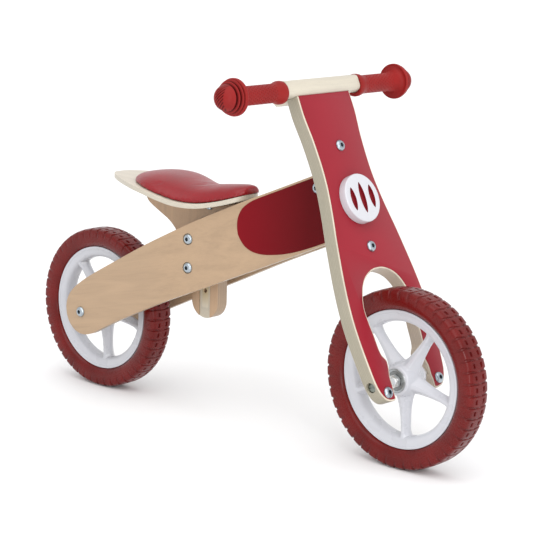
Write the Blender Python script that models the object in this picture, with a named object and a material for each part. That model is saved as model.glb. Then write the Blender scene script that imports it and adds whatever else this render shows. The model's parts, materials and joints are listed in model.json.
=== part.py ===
"""Child's wooden balance bike: bent-plywood frame, steering fork board, two foam-tyred wheels.

Axes: +X forward, +Y the rider's left, +Z up.  Origin on the ground, mid-wheelbase, mid-plane.
Lengths in metres.  "s" runs down the fork board and "w" runs back from its front face.
"""
import math

import bmesh
import bpy
from mathutils import Vector

# ---- driving dimensions ----
WHEEL_R = 0.125
WHEELBASE = 0.590
TILT = math.radians(24.56)       # fork board leans back from the vertical
AXLE_S = 0.4055                  # front axle, measured down the board
BOARD_T = 0.021
PIVOT_W = 0.030                  # steering axis, behind the board's front face
BEAM_T = 0.012
BEAM_Y_FRONT = 0.020             # outer faces of the beams at the head
BEAM_Y_REAR = 0.055              # and beside the rear wheel
GAP = 0.0003                     # fitting gap between touching pieces
AXLE_R = 0.004
BORE_R = 0.0041
BEARING_R = 0.0166
CUP_R = 0.0071                   # sinks the front axle's end caps into the board
HEAD_R = 0.008                   # domed bolt heads
BOLT_R = 0.003
POST_X = -0.0740
POST_T = 0.0105                  # half thickness of the seat post
FORK_BOLT_S = (0.0749, 0.2201)   # two bolts down the middle of the board
LEG_BOLT_S, LEG_BOLT_Y = 0.4178, 0.0566
HEAD_BOLT_S = (0.1204, 0.1800)   # two bolts through the beams and the head block
HEAD_BOLT_W = 0.0435
BAR_SCREW_Y = 0.035
SCREW_W = 0.0431                 # under the heads of the bar screws, sunk in their block
PLATE_T = 0.003                  # steering brackets
BRACKET_HALF = 0.010
EAR_S = (0.0974, 0.2016)         # inner faces of the two bracket ears
BOLT_Z = (0.2268, 0.2688)        # the two bolts through the post
HOLE_Z = (0.1875, 0.2075, 0.2475)
POST_END_R = 0.0265              # half width of the post and radius of its round foot
GROOVE_HALF = 0.011
LAMP_S, LAMP_R, LAMP_T = 0.1535, 0.0345, 0.0118
SLOT_DEEP = 0.0040               # the lamp's three slots are blind
GRIP_S, GRIP_W = -0.0104, 0.0080  # axis of the grips
BOARD_TOP = -0.0015               # top edge of the fork board

CT, ST = math.cos(TILT), math.sin(TILT)
FWD = Vector((CT, 0, ST))        # normal of the board's front face
UP = Vector((-ST, 0, CT))        # up along the board
AXLE = Vector((WHEELBASE / 2, 0, WHEEL_R))
TOP = AXLE + FWD * (BOARD_T / 2) + UP * AXLE_S
PIVOT = TOP - FWD * PIVOT_W

# ---- clean start ----
for item in list(bpy.data.objects):
    bpy.data.objects.remove(item, do_unlink=True)


def material(name, rgb, rough, metal=0.0):
    m = bpy.data.materials.new(name)
    m.use_nodes = True
    b = m.node_tree.nodes["Principled BSDF"]
    b.inputs["Base Color"].default_value = (*rgb, 1.0)
    b.inputs["Roughness"].default_value = rough
    b.inputs["Metallic"].default_value = metal
    m.diffuse_color = (*rgb, 1.0)
    return m


BEECH = material("beech_ply", (0.58, 0.39, 0.24), 0.5)
PALE = material("pale_wood", (0.70, 0.62, 0.48), 0.5)
RED = material("red_paint", (0.42, 0.035, 0.055), 0.35)
DARK_RED = material("dark_red_paint", (0.20, 0.012, 0.02), 0.35)
LEATHER = material("red_leatherette", (0.27, 0.012, 0.02), 0.4)
RUBBER = material("red_rubber", (0.33, 0.03, 0.028), 0.55)
FOAM = material("red_foam_tyre", (0.26, 0.018, 0.016), 0.5)
WHITE = material("white_plastic", (0.78, 0.78, 0.80), 0.3)
STEEL = material("zinc_steel", (0.62, 0.63, 0.65), 0.3, 1.0)
DARK_STEEL = material("dark_steel", (0.16, 0.17, 0.15), 0.4, 1.0)
NYLON = material("white_nylon", (0.72, 0.72, 0.70), 0.45)


def empty(name, loc, rot_y, parent=None):
    e = bpy.data.objects.new(name, None)
    bpy.context.collection.objects.link(e)
    e.parent = parent
    e.location = loc
    e.rotation_euler = (0, rot_y, 0)
    return e


FRAME = empty("frame_datum", PIVOT, -TILT)
FORK = empty("steering_datum", PIVOT, -TILT)
FRONT = empty("front_wheel_datum", (PIVOT_W - BOARD_T / 2, 0, -AXLE_S), TILT, FORK)
REAR = empty("rear_wheel_datum", (-WHEELBASE / 2, 0, WHEEL_R), 0)


def loc(s, w, y=0.0):
    """Board coordinates to the tilted datum's own axes."""
    return Vector((PIVOT_W - w, y, -s))


def frame_sw(x, z):
    d = Vector((x, 0, z)) - TOP
    return -d.dot(UP), -d.dot(FWD)


def solid(name, verts, faces, mat, parent=None, smooth=False, at=(0, 0, 0)):
    """One closed object; at is the origin in the parent's axes and verts are counted from it."""
    bm = bmesh.new()
    vs = [bm.verts.new(v) for v in verts]
    for f in faces:
        bm.faces.new([vs[i] for i in f])
    bmesh.ops.remove_doubles(bm, verts=bm.verts, dist=1e-6)
    bmesh.ops.recalc_face_normals(bm, faces=bm.faces)
    me = bpy.data.meshes.new(name)
    bm.to_mesh(me)
    bm.free()
    me.materials.append(mat)
    ob = bpy.data.objects.new(name, me)
    bpy.context.collection.objects.link(ob)
    ob.parent = parent
    ob.location = at
    for p in me.polygons:
        p.use_smooth = smooth
    return ob


def loft(sections, closed=False):
    """Join rings of equal length; the two ends are capped unless the loft is closed."""
    n, verts, faces = len(sections[0]), [], []
    for ring in sections:
        verts += ring
    m = len(sections)
    for i in range(m if closed else m - 1):
        a, b = i * n, ((i + 1) % m) * n
        for j in range(n):
            k = (j + 1) % n
            faces.append((a + j, a + k, b + k, b + j))
    if not closed:
        faces.append(tuple(range(n)))
        faces.append(tuple((m - 1) * n + j for j in range(n)))
    return verts, faces


def lathe(profile, seg, ring=False, axis="Y"):
    """Turn a profile of (radius, position) about an axis; ring closes it on itself."""
    def spot(r, t, a):
        u, v = r * math.cos(a), r * math.sin(a)
        return {"X": (t, u, v), "Y": (u, t, v), "Z": (u, v, t)}[axis]
    verts, faces, rows = [], [], []
    for r, t in profile:
        if r < 1e-9:
            rows.append([len(verts)])
            verts.append(spot(0, t, 0))
        else:
            rows.append(list(range(len(verts), len(verts) + seg)))
            verts += [spot(r, t, 2 * math.pi * i / seg) for i in range(seg)]
    pairs = list(zip(rows, rows[1:])) + ([(rows[-1], rows[0])] if ring else [])
    for a, b in pairs:
        for i in range(seg if len(a) + len(b) > 2 else 0):
            j = (i + 1) % seg
            if len(a) == 1:
                faces.append((a[0], b[i], b[j]))
            elif len(b) == 1:
                faces.append((a[i], b[0], a[j]))
            else:
                faces.append((a[i], b[i], b[j], a[j]))
    return verts, faces


def prism(outline, lo, hi, axis="Y"):
    """Extrude a closed outline of (u, v) along an axis."""
    order = {"Y": lambda u, v, t: (u, t, v), "X": lambda u, v, t: (t, u, v),
             "Z": lambda u, v, t: (u, v, t)}[axis]
    return loft([[order(u, v, lo) for u, v in outline], [order(u, v, hi) for u, v in outline]])


def shifted(shape, off):
    return [Vector(v) + Vector(off) for v in shape[0]], shape[1]


def merge(*shapes):
    verts, faces = [], []
    for v, f in shapes:
        base = len(verts)
        verts += list(v)
        faces += [tuple(i + base for i in q) for q in f]
    return verts, faces


def combine(ob, shape, how):
    """Cut a shape from an object, or add it, and keep the result as plain mesh."""
    tool = solid("tool", shape[0], shape[1], ob.data.materials[0], ob.parent, at=ob.location)
    mod = ob.modifiers.new("shape", "BOOLEAN")
    mod.object, mod.operation, mod.solver = tool, how, "EXACT"
    bpy.context.view_layer.update()
    me = bpy.data.meshes.new_from_object(ob.evaluated_get(bpy.context.evaluated_depsgraph_get()))
    ob.modifiers.clear()
    old, name = ob.data, ob.data.name
    ob.data = me
    bpy.data.meshes.remove(old)
    me.name = name
    bpy.data.objects.remove(tool, do_unlink=True)
    bm = bmesh.new()
    bm.from_mesh(me)
    bmesh.ops.remove_doubles(bm, verts=bm.verts, dist=2e-6)
    bmesh.ops.dissolve_degenerate(bm, edges=bm.edges, dist=2e-6)
    bmesh.ops.recalc_face_normals(bm, faces=bm.faces)
    bm.to_mesh(me)
    bm.free()
    return ob


def rod(r, lo, hi, at, axis, seg=16):
    return shifted(lathe([(0, lo), (r, lo), (r, hi), (0, hi)], seg, axis=axis), at)


def interp(table, x):
    if x <= table[0][0]:
        return table[0][1]
    for (a, p), (b, q) in zip(table, table[1:]):
        if x <= b:
            return p + (q - p) * (x - a) / (b - a)
    return table[-1][1]


def offset(outline, d):
    """Move a closed outline inwards by d along its averaged edge normals."""
    area = sum(a[0] * b[1] - b[0] * a[1] for a, b in zip(outline, outline[1:] + outline[:1]))
    sign = 1 if area > 0 else -1
    out = []
    for i, p in enumerate(outline):
        a, b = outline[i - 1], outline[(i + 1) % len(outline)]
        n = Vector((0, 0))
        for e in (Vector(p) - Vector(a), Vector(b) - Vector(p)):
            e.normalize()
            n += Vector((-e.y, e.x)) * sign
        n.normalize()
        out.append((p[0] + n.x * d, p[1] + n.y * d))
    return out


# ---- fork board ----
OUTER = [(BOARD_TOP, .0556), (.012, .0562), (.028, .0561), (.044, .0545), (.060, .0526),
         (.080, .0515), (.105, .0512), (.125, .0523), (.145, .0550), (.170, .0597),
         (.200, .0664), (.230, .0722), (.260, .0775), (.285, .0808), (.305, .0824),
         (.325, .0829), (.350, .0819), (.380, .0792), (.400, .0767), (.411, .0741),
         (.419, .0703), (.425, .0655), (.429, .0592), (.4305, .0520)]
INNER = [(.4303, .0462), (.4280, .0428), (.4170, .0430), (.4125, .0420), (.3985, .0420), (.3910, .0399),
         (.3820, .0382), (.3765, .0381), (.3725, .0402), (.3675, .0443), (.3600, .0465),
         (.3400, .0482), (.3200, .0506), (.3060, .0515), (.2940, .0498), (.2840, .0460),
         (.2740, .0410), (.2650, .0338), (.2590, .0255), (.2545, .0155), (.2527, .0078)]


def board_outline():
    half = OUTER + INNER
    return ([(y, -s) for s, y in half] + [(0.0, -.2523)]
            + [(-y, -s) for s, y in reversed(half)])


def slab(name, outline, w0, w1, chamfer, mat, parent):
    """Flat piece on the board's axes: outline of (y, z), from w0 (front) to w1, chamfered."""
    def ring(pts, w):
        return [(PIVOT_W - w, y, z) for y, z in pts]
    if chamfer:
        small = offset(outline, chamfer)
        rings = [ring(small, w0), ring(outline, w0 + chamfer), ring(outline, w1 - chamfer),
                 ring(small, w1)]
    else:
        rings = [ring(outline, w0), ring(outline, w1)]
    v, f = loft(rings)
    return solid(name, v, f, mat, parent)


def bolt_profile(length, far_head=True):
    dome = [(0, .0022), (.0030, .0022), (.0034, .0044), (.0064, .0032), (HEAD_R, .0007),
            (HEAD_R, 0), (BOLT_R, 0)]
    if far_head:
        return dome + [(r, -length - t) for r, t in reversed(dome)]
    return dome + [(BOLT_R, -length), (0, -length)]


def fork():
    outline = board_outline()
    board = slab("fork_board", outline, .0006, BOARD_T, .0012, PALE, FORK)
    spots = [(s, 0) for s in FORK_BOLT_S] + [(LEG_BOLT_S, y) for y in (LEG_BOLT_Y, -LEG_BOLT_Y)]
    holes = [rod(BOLT_R + GAP, -.03, .02, loc(s, 0, y), "X") for s, y in spots]
    combine(board, merge(*holes), "DIFFERENCE")
    middle = loc(AXLE_S, BOARD_T / 2)
    combine(board, rod(AXLE_R + GAP, -.1, .1, middle, "Y", 24), "DIFFERENCE")
    cups = [rod(CUP_R, a, b, middle, "Y", 24) for a, b in ((-.09, -.066), (.066, .09))]
    combine(board, merge(*cups), "DIFFERENCE")

    skin = [(y, max(z, .0009) if z > -.0045 else z) for y, z in offset(outline, .0024)]
    x0, y0, z0 = loc(GRIP_S, GRIP_W)
    cradle = prism([(x0 + u, z0 + v) for u, v in bar_section(GAP)], -.09, .09)
    combine(board, cradle, "DIFFERENCE")
    face = slab("fork_face", skin, 0, .0005, 0, RED, FORK)
    combine(face, merge(*holes), "DIFFERENCE")

    for name, s in zip(("fork_bolt_upper", "fork_bolt_lower"), FORK_BOLT_S):
        nut = [(BOLT_R, -.0248), (.0062, -.0248), (.0062, -.0294), (BOLT_R, -.0294),
               (BOLT_R, -.0318), (0, -.0318)]
        v, f = lathe(bolt_profile(0, False)[:7] + nut, 14, axis="X")
        solid(name, v, f, STEEL, FORK, True, loc(s, -GAP / 2))
    for name, y in (("leg_bolt_right", -LEG_BOLT_Y), ("leg_bolt_left", LEG_BOLT_Y)):
        v, f = lathe(bolt_profile(.0165, False), 14, axis="X")
        solid(name, v, f, STEEL, FORK, True, loc(LEG_BOLT_S, -GAP / 2, y))


def lens(length, width, cy, cz, n=6):
    """Pointed oval of two arcs."""
    pts = []
    for k in range(2 * n):
        t = -1 + 2 * (k % n) / n if k < n else 1 - 2 * (k % n) / n
        side = 1 if k < n else -1
        pts.append((cy + side * width / 2 * (1 - t * t) ** 0.75, cz + t * length / 2))
    return pts


def lamp():
    prof = [(0, LAMP_T), (LAMP_R - .0015, LAMP_T), (LAMP_R, LAMP_T - .0015), (LAMP_R, 0), (0, 0)]
    v, f = lathe(prof, 36, axis="X")
    disc = solid("lamp_disc", v, f, WHITE, FORK, False, loc(LAMP_S, -GAP))
    floor = LAMP_T - SLOT_DEEP
    cuts = [prism(lens(.0445, .0108, 0, 0), floor, .02, "X")]
    for y in (-.0195, .0195):
        cuts.append(prism(lens(.0333, .0104, y, 0), floor, .02, "X"))
    combine(disc, merge(*cuts), "DIFFERENCE")


def rounded(half_u, half_v, r, n=4):
    pts = []
    for cu, cv, a0 in ((1, 1, 0), (-1, 1, 90), (-1, -1, 180), (1, -1, 270)):
        for k in range(n + 1):
            a = math.radians(a0 + 90 * k / n)
            pts.append((cu * (half_u - r) + r * math.cos(a), cv * (half_v - r) + r * math.sin(a)))
    return pts


def bar_section(more):
    """Middle of the handlebar, a little above the grips' axis; more widens it."""
    return [(u + .0009, v + .0023) for u, v in rounded(.012 + more, .0115 + more, .0070 + more)]


def handlebar():
    at = loc(GRIP_S, GRIP_W)
    body = bar_section(0)
    end = rounded(.0099, .0099, .0098)
    rings = []
    for y, pts in ((-.1805, end), (-.0775, end), (-.0766, body), (.0766, body), (.0775, end),
                   (.1805, end)):
        rings.append([(u, y, v) for u, v in pts])
    v, f = loft(rings)
    solid("handlebar", v, f, PALE, FORK, False, at)

    seat = BOARD_TOP - GAP
    pts = [(.0194, -.0243), (.0380, -.0243), (.0440, -.0225), (.0462, -.0180), (.0462, -.0045),
           (.0440, -.0004), (.0395, .0010), (.0214, .0010), (.0214, seat), (.0194, seat)]
    v, f = prism([(PIVOT_W - w, -s) for w, s in pts], -.054, .054)
    block = solid("handlebar_block", v, f, PALE, FORK)
    for r, depth in ((.0024, .0280), (.0052, 0)):
        holes = [rod(r, -.005, depth, loc(GRIP_S, SCREW_W, y), "X") for y in (-BAR_SCREW_Y, BAR_SCREW_Y)]
        combine(block, merge(*holes), "DIFFERENCE")
    for name, y in (("bar_screw_right", -BAR_SCREW_Y), ("bar_screw_left", BAR_SCREW_Y)):
        prof = [(0, -.0026), (.0030, -.0022), (.0046, -.0008), (.0046, -.0002), (.0020, -.0002),
                (.0020, .0233), (0, .0233)]
        v, f = lathe(prof, 12, axis="X")
        solid(name, v, f, STEEL, FORK, True, loc(GRIP_S, SCREW_W, y))


GRIP = [(.0106, .0780), (.0154, .0780), (.0160, .0850), (.0136, .0920), (.0132, .1600),
        (.0158, .1675), (.0205, .1703), (.0253, .1685), (.0253, .1733), (.0228, .1745),
        (.0224, .1790), (.0200, .1808), (.0178, .1862), (.0148, .1940), (.0086, .1995),
        (0, .2010), (0, .1820), (.0106, .1820)]


def grips():
    for name, sgn in (("grip_right", -1), ("grip_left", 1)):
        v, f = lathe([(r, sgn * y) for r, y in GRIP], 20, ring=True)
        solid(name, v, f, RUBBER, FORK, True, loc(GRIP_S, GRIP_W))


def arc(cx, cy, r, a0, a1, n=8):
    return [(cx + r * math.cos(math.radians(a0 + (a1 - a0) * k / n)),
             cy + r * math.sin(math.radians(a0 + (a1 - a0) * k / n))) for k in range(n + 1)]


def bracket(name, s_near, s_far, s_bolt):
    """Steel angle behind the board: one leg bolted to it, the other holding the steering pin."""
    front = PIVOT_W - BOARD_T - GAP
    up = 1 if s_bolt < s_near else -1
    tip = arc(0, -s_bolt, BRACKET_HALF, 0, 180 * up)
    leg = [(-BRACKET_HALF, -s_near), (BRACKET_HALF, -s_near)] + tip
    ob = solid(name, *prism(leg, front - PLATE_T, front, "X"), STEEL, FORK)
    plate = [(front - PLATE_T / 2, BRACKET_HALF)] + arc(0, 0, BRACKET_HALF, 90, 270, 10)
    plate += [(front - PLATE_T / 2, -BRACKET_HALF)]
    lo, hi = sorted((-s_near, -s_far))
    combine(ob, prism(plate, lo, hi, "Z"), "UNION")
    combine(ob, rod(.0038, -.3, .1, (0, 0, 0), "Z", 32), "DIFFERENCE")
    combine(ob, rod(BOLT_R + GAP, 0, .03, loc(s_bolt, PIVOT_W), "X"), "DIFFERENCE")


def steering():
    top, far = EAR_S[0] - PLATE_T, EAR_S[1] + PLATE_T
    bracket("steering_bracket_upper", EAR_S[0], top, FORK_BOLT_S[0])
    bracket("steering_bracket_lower", EAR_S[1], far, FORK_BOLT_S[1])
    prof = [(0, .0038), (.0034, .0036), (.0048, .0026), (.0052, .0010), (.0052, .0002),
            (.0035, .0002), (.0035, top - far - .0002), (.0052, top - far - .0002),
            (.0052, top - far - .0048), (.0035, top - far - .0062), (0, top - far - .0062)]
    v, f = lathe([(r, t - top) for r, t in prof], 20, axis="Z")
    solid("steering_pin", v, f, STEEL, FORK, True)
    for name, s, thick in (("thrust_washer_upper", .0978, .0018), ("thrust_washer_lower", .1959, .0053)):
        prof = [(.0039, -s), (.0076, -s), (.0076, -s - thick), (.0039, -s - thick)]
        v, f = lathe(prof, 20, ring=True, axis="Z")
        solid(name, v, f, NYLON, FORK)


# ---- frame beams ----
BEAM_TOP = [(.036, .1021), (.050, .1018), (.080, .1007), (.110, .0996), (.154, .0980), (.183, .0973),
            (.224, .0974), (.277, .0983), (.321, .1006), (.376, .1041), (.433, .1081),
            (.482, .1117), (.515, .1150), (.5285, .1172), (.5430, .1203), (.5570, .1252),
            (.5672, .1320), (.5750, .1415), (.5785, .1510), (.5798, .1575)]
BEAM_LOW = [(.036, .1978), (.110, .1966), (.170, .1957), (.240, .1949), (.285, .1946), (.320, .1940),
            (.380, .1934), (.425, .1938), (.460, .1943), (.500, .1958), (.520, .1972), (.5370, .1982),
            (.5500, .1966), (.5615, .1924), (.5705, .1852), (.5760, .1775), (.5785, .1710),
            (.5798, .1650)]
STATIONS = [.036, .060, .085, .110, .130, .145, .158, .170, .182, .193, .1985, .2025, .2050, .2061,
            .240, .277, .321, .338, .350, .360, .370, .382, .400, .430, .460, .500, .5200, .5370,
            .5485, .5590, .5665, .5725, .5765, .5790, .5798]
PANEL_TOP = [(.036, .1052), (.0494, .1048), (.080, .1036), (.110, .1026), (.140, .1014),
             (.158, .1010), (.170, .1016), (.178, .1032), (.186, .1058), (.193, .1108),
             (.1985, .1168), (.2025, .1245), (.2050, .1320), (.2061, .1385)]
PANEL_LOW = [(.036, .1956), (.0594, .1952), (.080, .1946), (.100, .1936), (.1174, .1921),
             (.135, .1896), (.1514, .1862), (.1724, .1800), (.186, .1734), (.193, .1682),
             (.1985, .1622), (.2025, .1552), (.2050, .1470), (.2061, .1395)]


def hole_x(z):
    """The row of holes in the post leans back a little."""
    return POST_X - .065 * (z - HOLE_Z[0])


def soft(u, r=.012):
    return r * math.log1p(math.exp(max(-50.0, min(50.0, u / r))))


def beam_y(w):
    """Outer face of a beam: narrow at the head, wide beside the rear wheel."""
    slope = (BEAM_Y_REAR - BEAM_Y_FRONT) / (.360 - .166)
    return BEAM_Y_FRONT + slope * (soft(w - .166) - soft(w - .360))


def beam(name, sgn):
    rings = []
    for w in STATIONS:
        yo, s0, s1, c = beam_y(w), interp(BEAM_TOP, w), interp(BEAM_LOW, w), .0012
        yi = yo - BEAM_T
        pts = [(yo, s0 + c), (yo - c, s0), (yi, s0), (yi, s1), (yo - c, s1), (yo, s1 - c)]
        rings.append([loc(s, w, sgn * y) for y, s in pts])
    v, f = loft(rings)
    ob = solid(name, v, f, BEECH, FRAME)
    cuts = [rod(BOLT_R + GAP, -.1, .1, loc(s, HEAD_BOLT_W), "Y") for s in HEAD_BOLT_S]
    s, w = frame_sw(-WHEELBASE / 2, WHEEL_R)
    cuts.append(rod(AXLE_R + GAP, -.1, .1, loc(s, w), "Y"))
    for z in BOLT_Z:
        s, w = frame_sw(hole_x(z), z)
        cuts.append(rod(BOLT_R + GAP, -.1, .1, loc(s, w), "Y"))
    combine(ob, merge(*cuts), "DIFFERENCE")
    spots = []
    for z in BOLT_Z:
        s, w = frame_sw(hole_x(z), z)
        y = sgn * (beam_y(w) - .0014)
        lo, hi = (y, y + .02) if sgn > 0 else (y - .02, y)
        spots.append(rod(HEAD_R + .0006, lo, hi, loc(s, w), "Y", 24))
    combine(ob, merge(*spots), "DIFFERENCE")


def side_panel(name, sgn):
    rings = []
    for w in [w for w in STATIONS if w < .2062]:
        yo = beam_y(w)
        a, b = interp(PANEL_TOP, w), interp(PANEL_LOW, w)
        pts = [(yo + .0006, a), (yo + .0001, a), (yo + .0001, b), (yo + .0006, b)]
        rings.append([loc(s, w, sgn * y) for y, s in pts])
    v, f = loft(rings)
    ob = solid(name, v, f, DARK_RED, FRAME)
    holes = [rod(BOLT_R + GAP, -.1, .1, loc(s, HEAD_BOLT_W), "Y") for s in HEAD_BOLT_S]
    combine(ob, merge(*holes), "DIFFERENCE")


def head():
    hw = BEAM_Y_FRONT - BEAM_T - .0002
    rear = PIVOT_W - .140
    v, f = prism([(rear, hw), (rear, -hw)] + arc(0, 0, hw, -90, 90, 10), -.1955, -.1000, "Z")
    ob = solid("head_block", v, f, BEECH, FRAME)
    combine(ob, rod(.0036, -.3, .1, (0, 0, 0), "Z", 32), "DIFFERENCE")
    cuts = [rod(BOLT_R + GAP, -.1, .1, loc(s, HEAD_BOLT_W), "Y") for s in HEAD_BOLT_S]
    combine(ob, merge(*cuts), "DIFFERENCE")
    for name, s in zip(("head_bolt_upper", "head_bolt_lower"), HEAD_BOLT_S):
        across_bolt(name, s, HEAD_BOLT_W, BEAM_Y_FRONT + .0008)


def across_bolt(name, s, w, y):
    prof = [(r, y + t) for r, t in bolt_profile(2 * y)]
    v, f = lathe(prof, 12)
    solid(name, v, f, STEEL, FRAME, True, loc(s, w))


# ---- seat ----
BASE_HALF = [(-.2665, .0085), (-.262, .0160), (-.255, .0230), (-.245, .0302), (-.230, .0395),
             (-.210, .0500), (-.190, .0585), (-.170, .0645), (-.150, .0667), (-.130, .0655),
             (-.110, .0615), (-.090, .0555), (-.070, .0485), (-.050, .0418), (-.030, .0362),
             (-.015, .0325), (-.007, .0280), (-.001, .0215), (.0030, .0140), (.0045, .0080)]
BASE_Z = [(-.268, .3366), (-.240, .3365), (-.2223, .3358), (-.200, .3347), (-.184, .3334),
          (-.1587, .3304), (-.1395, .3266), (-.121, .3222), (-.1013, .3178), (-.0824, .3159),
          (-.0673, .3161), (-.0523, .3180), (-.0361, .3215), (-.0231, .3248), (-.0076, .3297),
          (.0033, .3337), (.0110, .3368)]
CUSH_HALF = [(-.2115, .0085), (-.2090, .0165), (-.204, .0272), (-.197, .0376), (-.188, .0462),
             (-.176, .0545), (-.163, .0607), (-.148, .0642), (-.130, .0636), (-.110, .0597),
             (-.090, .0537), (-.070, .0467), (-.050, .0400), (-.030, .0346), (-.015, .0312),
             (-.004, .0272), (.003, .0220), (.0070, .0158), (.0085, .0100)]
CROWN = [(-.212, .3450), (-.2056, .3508), (-.195, .3542), (-.185, .3561), (-.170, .3576),
         (-.155, .3576), (-.140, .3560), (-.125, .3532), (-.1104, .3502), (-.0938, .3478),
         (-.0780, .3470), (-.0607, .3484), (-.040, .3518), (-.0193, .3547), (-.005, .3560),
         (.0085, .3552)]
BASE_T = .0070
UNDER = [(x, interp(BASE_Z, x)) for x, _ in BASE_HALF]


def seat():
    rings = []
    for x, h in BASE_HALF:
        z, c = interp(BASE_Z, x), .0010
        row = [(-h, z + c), (-h + c, z), (0, z), (h - c, z), (h, z + c)]
        top = [(h, z + BASE_T - c), (h - c, z + BASE_T), (0, z + BASE_T), (-h + c, z + BASE_T),
               (-h, z + BASE_T - c)]
        rings.append([(x, y, zz) for y, zz in row + top])
    v, f = loft(rings)
    base = solid("seat_base", v, f, PALE)
    spots = [(-.052, -.026), (-.052, .026), (-.150, -.040), (-.150, .040)]
    cuts = [rod(.0019, -.02, .0050, (x, y, interp(BASE_Z, x)), "Z", 16) for x, y in spots]
    combine(base, merge(*cuts), "DIFFERENCE")
    for name, (x, y) in zip(("seat_screw_front_right", "seat_screw_front_left",
                             "seat_screw_rear_right", "seat_screw_rear_left"), spots):
        prof = [(0, -.0040), (.0032, -.0034), (.0046, -.0020), (.0046, -.0012), (.0016, -.0012),
                (.0016, .0045), (0, .0045)]
        v, f = lathe(prof, 12, axis="Z")
        solid(name, v, f, STEEL, None, True, (x, y, interp(BASE_Z, x)))

    rings = []
    for x, h in CUSH_HALF:
        z = interp(UNDER, x) + BASE_T + 2 * GAP
        hi = interp(CROWN, x) - z
        n, row = 12, []
        for k in range(n + 1):
            t = -math.cos(math.pi * k / n)
            row.append((x, h * t, z + hi * max(0.06, (1 - abs(t) ** 2.5) ** .5)))
        low = [(x, h * .97, z), (x, 0, z), (x, -h * .97, z)]
        rings.append(row + low)
    v, f = loft(rings)
    solid("seat_cushion", v, f, LEATHER, None, True)


def post():
    lo, r = .1462, POST_END_R
    x0, x1 = POST_X - r, POST_X + r
    pts = [(x1, .2400), (x1 + .004, .2620), (-.034, .2860), (-.022, .3050), (-.016, .3200)]
    pts += [(-.0180, interp(UNDER, -.0180) - GAP)]
    pts += [(x, z - GAP) for x, z in reversed(UNDER) if -.1990 < x < -.0180]
    pts += [(-.1990, interp(UNDER, -.1990) - GAP)]
    pts += [(-.2000, .3160), (-.1948, .3083), (-.1883, .3037), (-.1775, .2978), (-.1647, .2915),
            (-.1519, .2850), (-.1425, .2781), (-.1357, .2712), (-.1290, .2610), (-.1220, .2500),
            (-.1130, .2400), (-.1040, .2330), (x0, .2260)]
    for k in range(13):
        a = math.pi * (1 + k / 12)
        pts.append((POST_X + r * math.cos(a), lo + r + r * math.sin(a)))
    v, f = prism(pts, -POST_T, POST_T)
    ob = solid("seat_post", v, f, BEECH)
    g0, g1, low, high = POST_X - GROOVE_HALF, POST_X + GROOVE_HALF, .1000, .2960
    grooves = [prism([(g0, low), (g1, low), (g1, high), (g0, high)], a, b)
               for a, b in ((-.02, -POST_T + .0018), (POST_T - .0018, .02))]
    combine(ob, merge(*grooves), "DIFFERENCE")
    holes = [rod(BOLT_R + GAP, -.1, .1, (hole_x(z), 0, z), "Y") for z in BOLT_Z + HOLE_Z]
    combine(ob, merge(*holes), "DIFFERENCE")


def spacers():
    """Wedge blocks that fill the gap between the post and each beam."""
    zc = sum(BOLT_Z) / 2
    xc = hole_x(zc)
    for name, sgn in (("post_spacer_right", -1), ("post_spacer_left", 1)):
        rings = []
        for x in (xc - .020, xc, xc + .020):
            ring = []
            for z, far in ((zc - .034, 0), (zc - .034, 1), (zc + .034, 1), (zc + .034, 0)):
                s, w = frame_sw(x, z)
                y = beam_y(w) - BEAM_T - .0006 if far else POST_T + GAP
                ring.append((x, sgn * y, z))
            rings.append(ring)
        v, f = loft(rings)
        ob = solid(name, v, f, PALE)
        combine(ob, merge(*[rod(BOLT_R + GAP, -.1, .1, (hole_x(z), 0, z), "Y") for z in BOLT_Z]),
                "DIFFERENCE")
    for name, z in zip(("post_bolt_lower", "post_bolt_upper"), BOLT_Z):
        s, w = frame_sw(hole_x(z), z)
        across_bolt(name, s, w, beam_y(w) - .0012)


# ---- wheels ----
TYRE_SIDE = [(.0925, .0119), (.0969, .0119), (.0995, .0166), (.1062, .0202), (.1140, .0208),
             (.1210, .0201), (.1236, .0175), (.1247, .0120), (WHEEL_R, 0)]
TYRE = TYRE_SIDE + [(r, -y) for r, y in reversed(TYRE_SIDE[:-1])]
RIM_SIDE = [(.0920, .0122), (.0964, .0122), (.0964, .0142), (.0930, .0142), (.0905, .0129),
            (.0825, .0120), (.0790, 0)]
RIM = RIM_SIDE + [(r, -y) for r, y in reversed(RIM_SIDE[:-1])]
HUB = [(0, -.0218), (.0185, -.0218), (.0208, -.0196), (.0245, -.0090), (.0245, .0090),
       (.0208, .0196), (.0185, .0218), (0, .0218)]
SPOKE0 = math.radians(-86)
WHEEL_SEG, RIM_SEG = 44, 36


def spoke(angle):
    rows = []
    for r, hw, hy in ((.0200, .0125, .0150), (.0300, .0098, .0115), (.0450, .0078, .0092),
                      (.0650, .0070, .0084), (.0755, .0080, .0092), (.0815, .0105, .0100)):
        ring = []
        for u, y in ((-hw, 0), (-hw * .45, -hy), (hw * .45, -hy), (hw, 0), (hw * .45, hy),
                     (-hw * .45, hy)):
            c, s = math.cos(angle), math.sin(angle)
            ring.append((r * c - u * s, y, r * s + u * c))
        rows.append(ring)
    return loft(rows)


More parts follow.
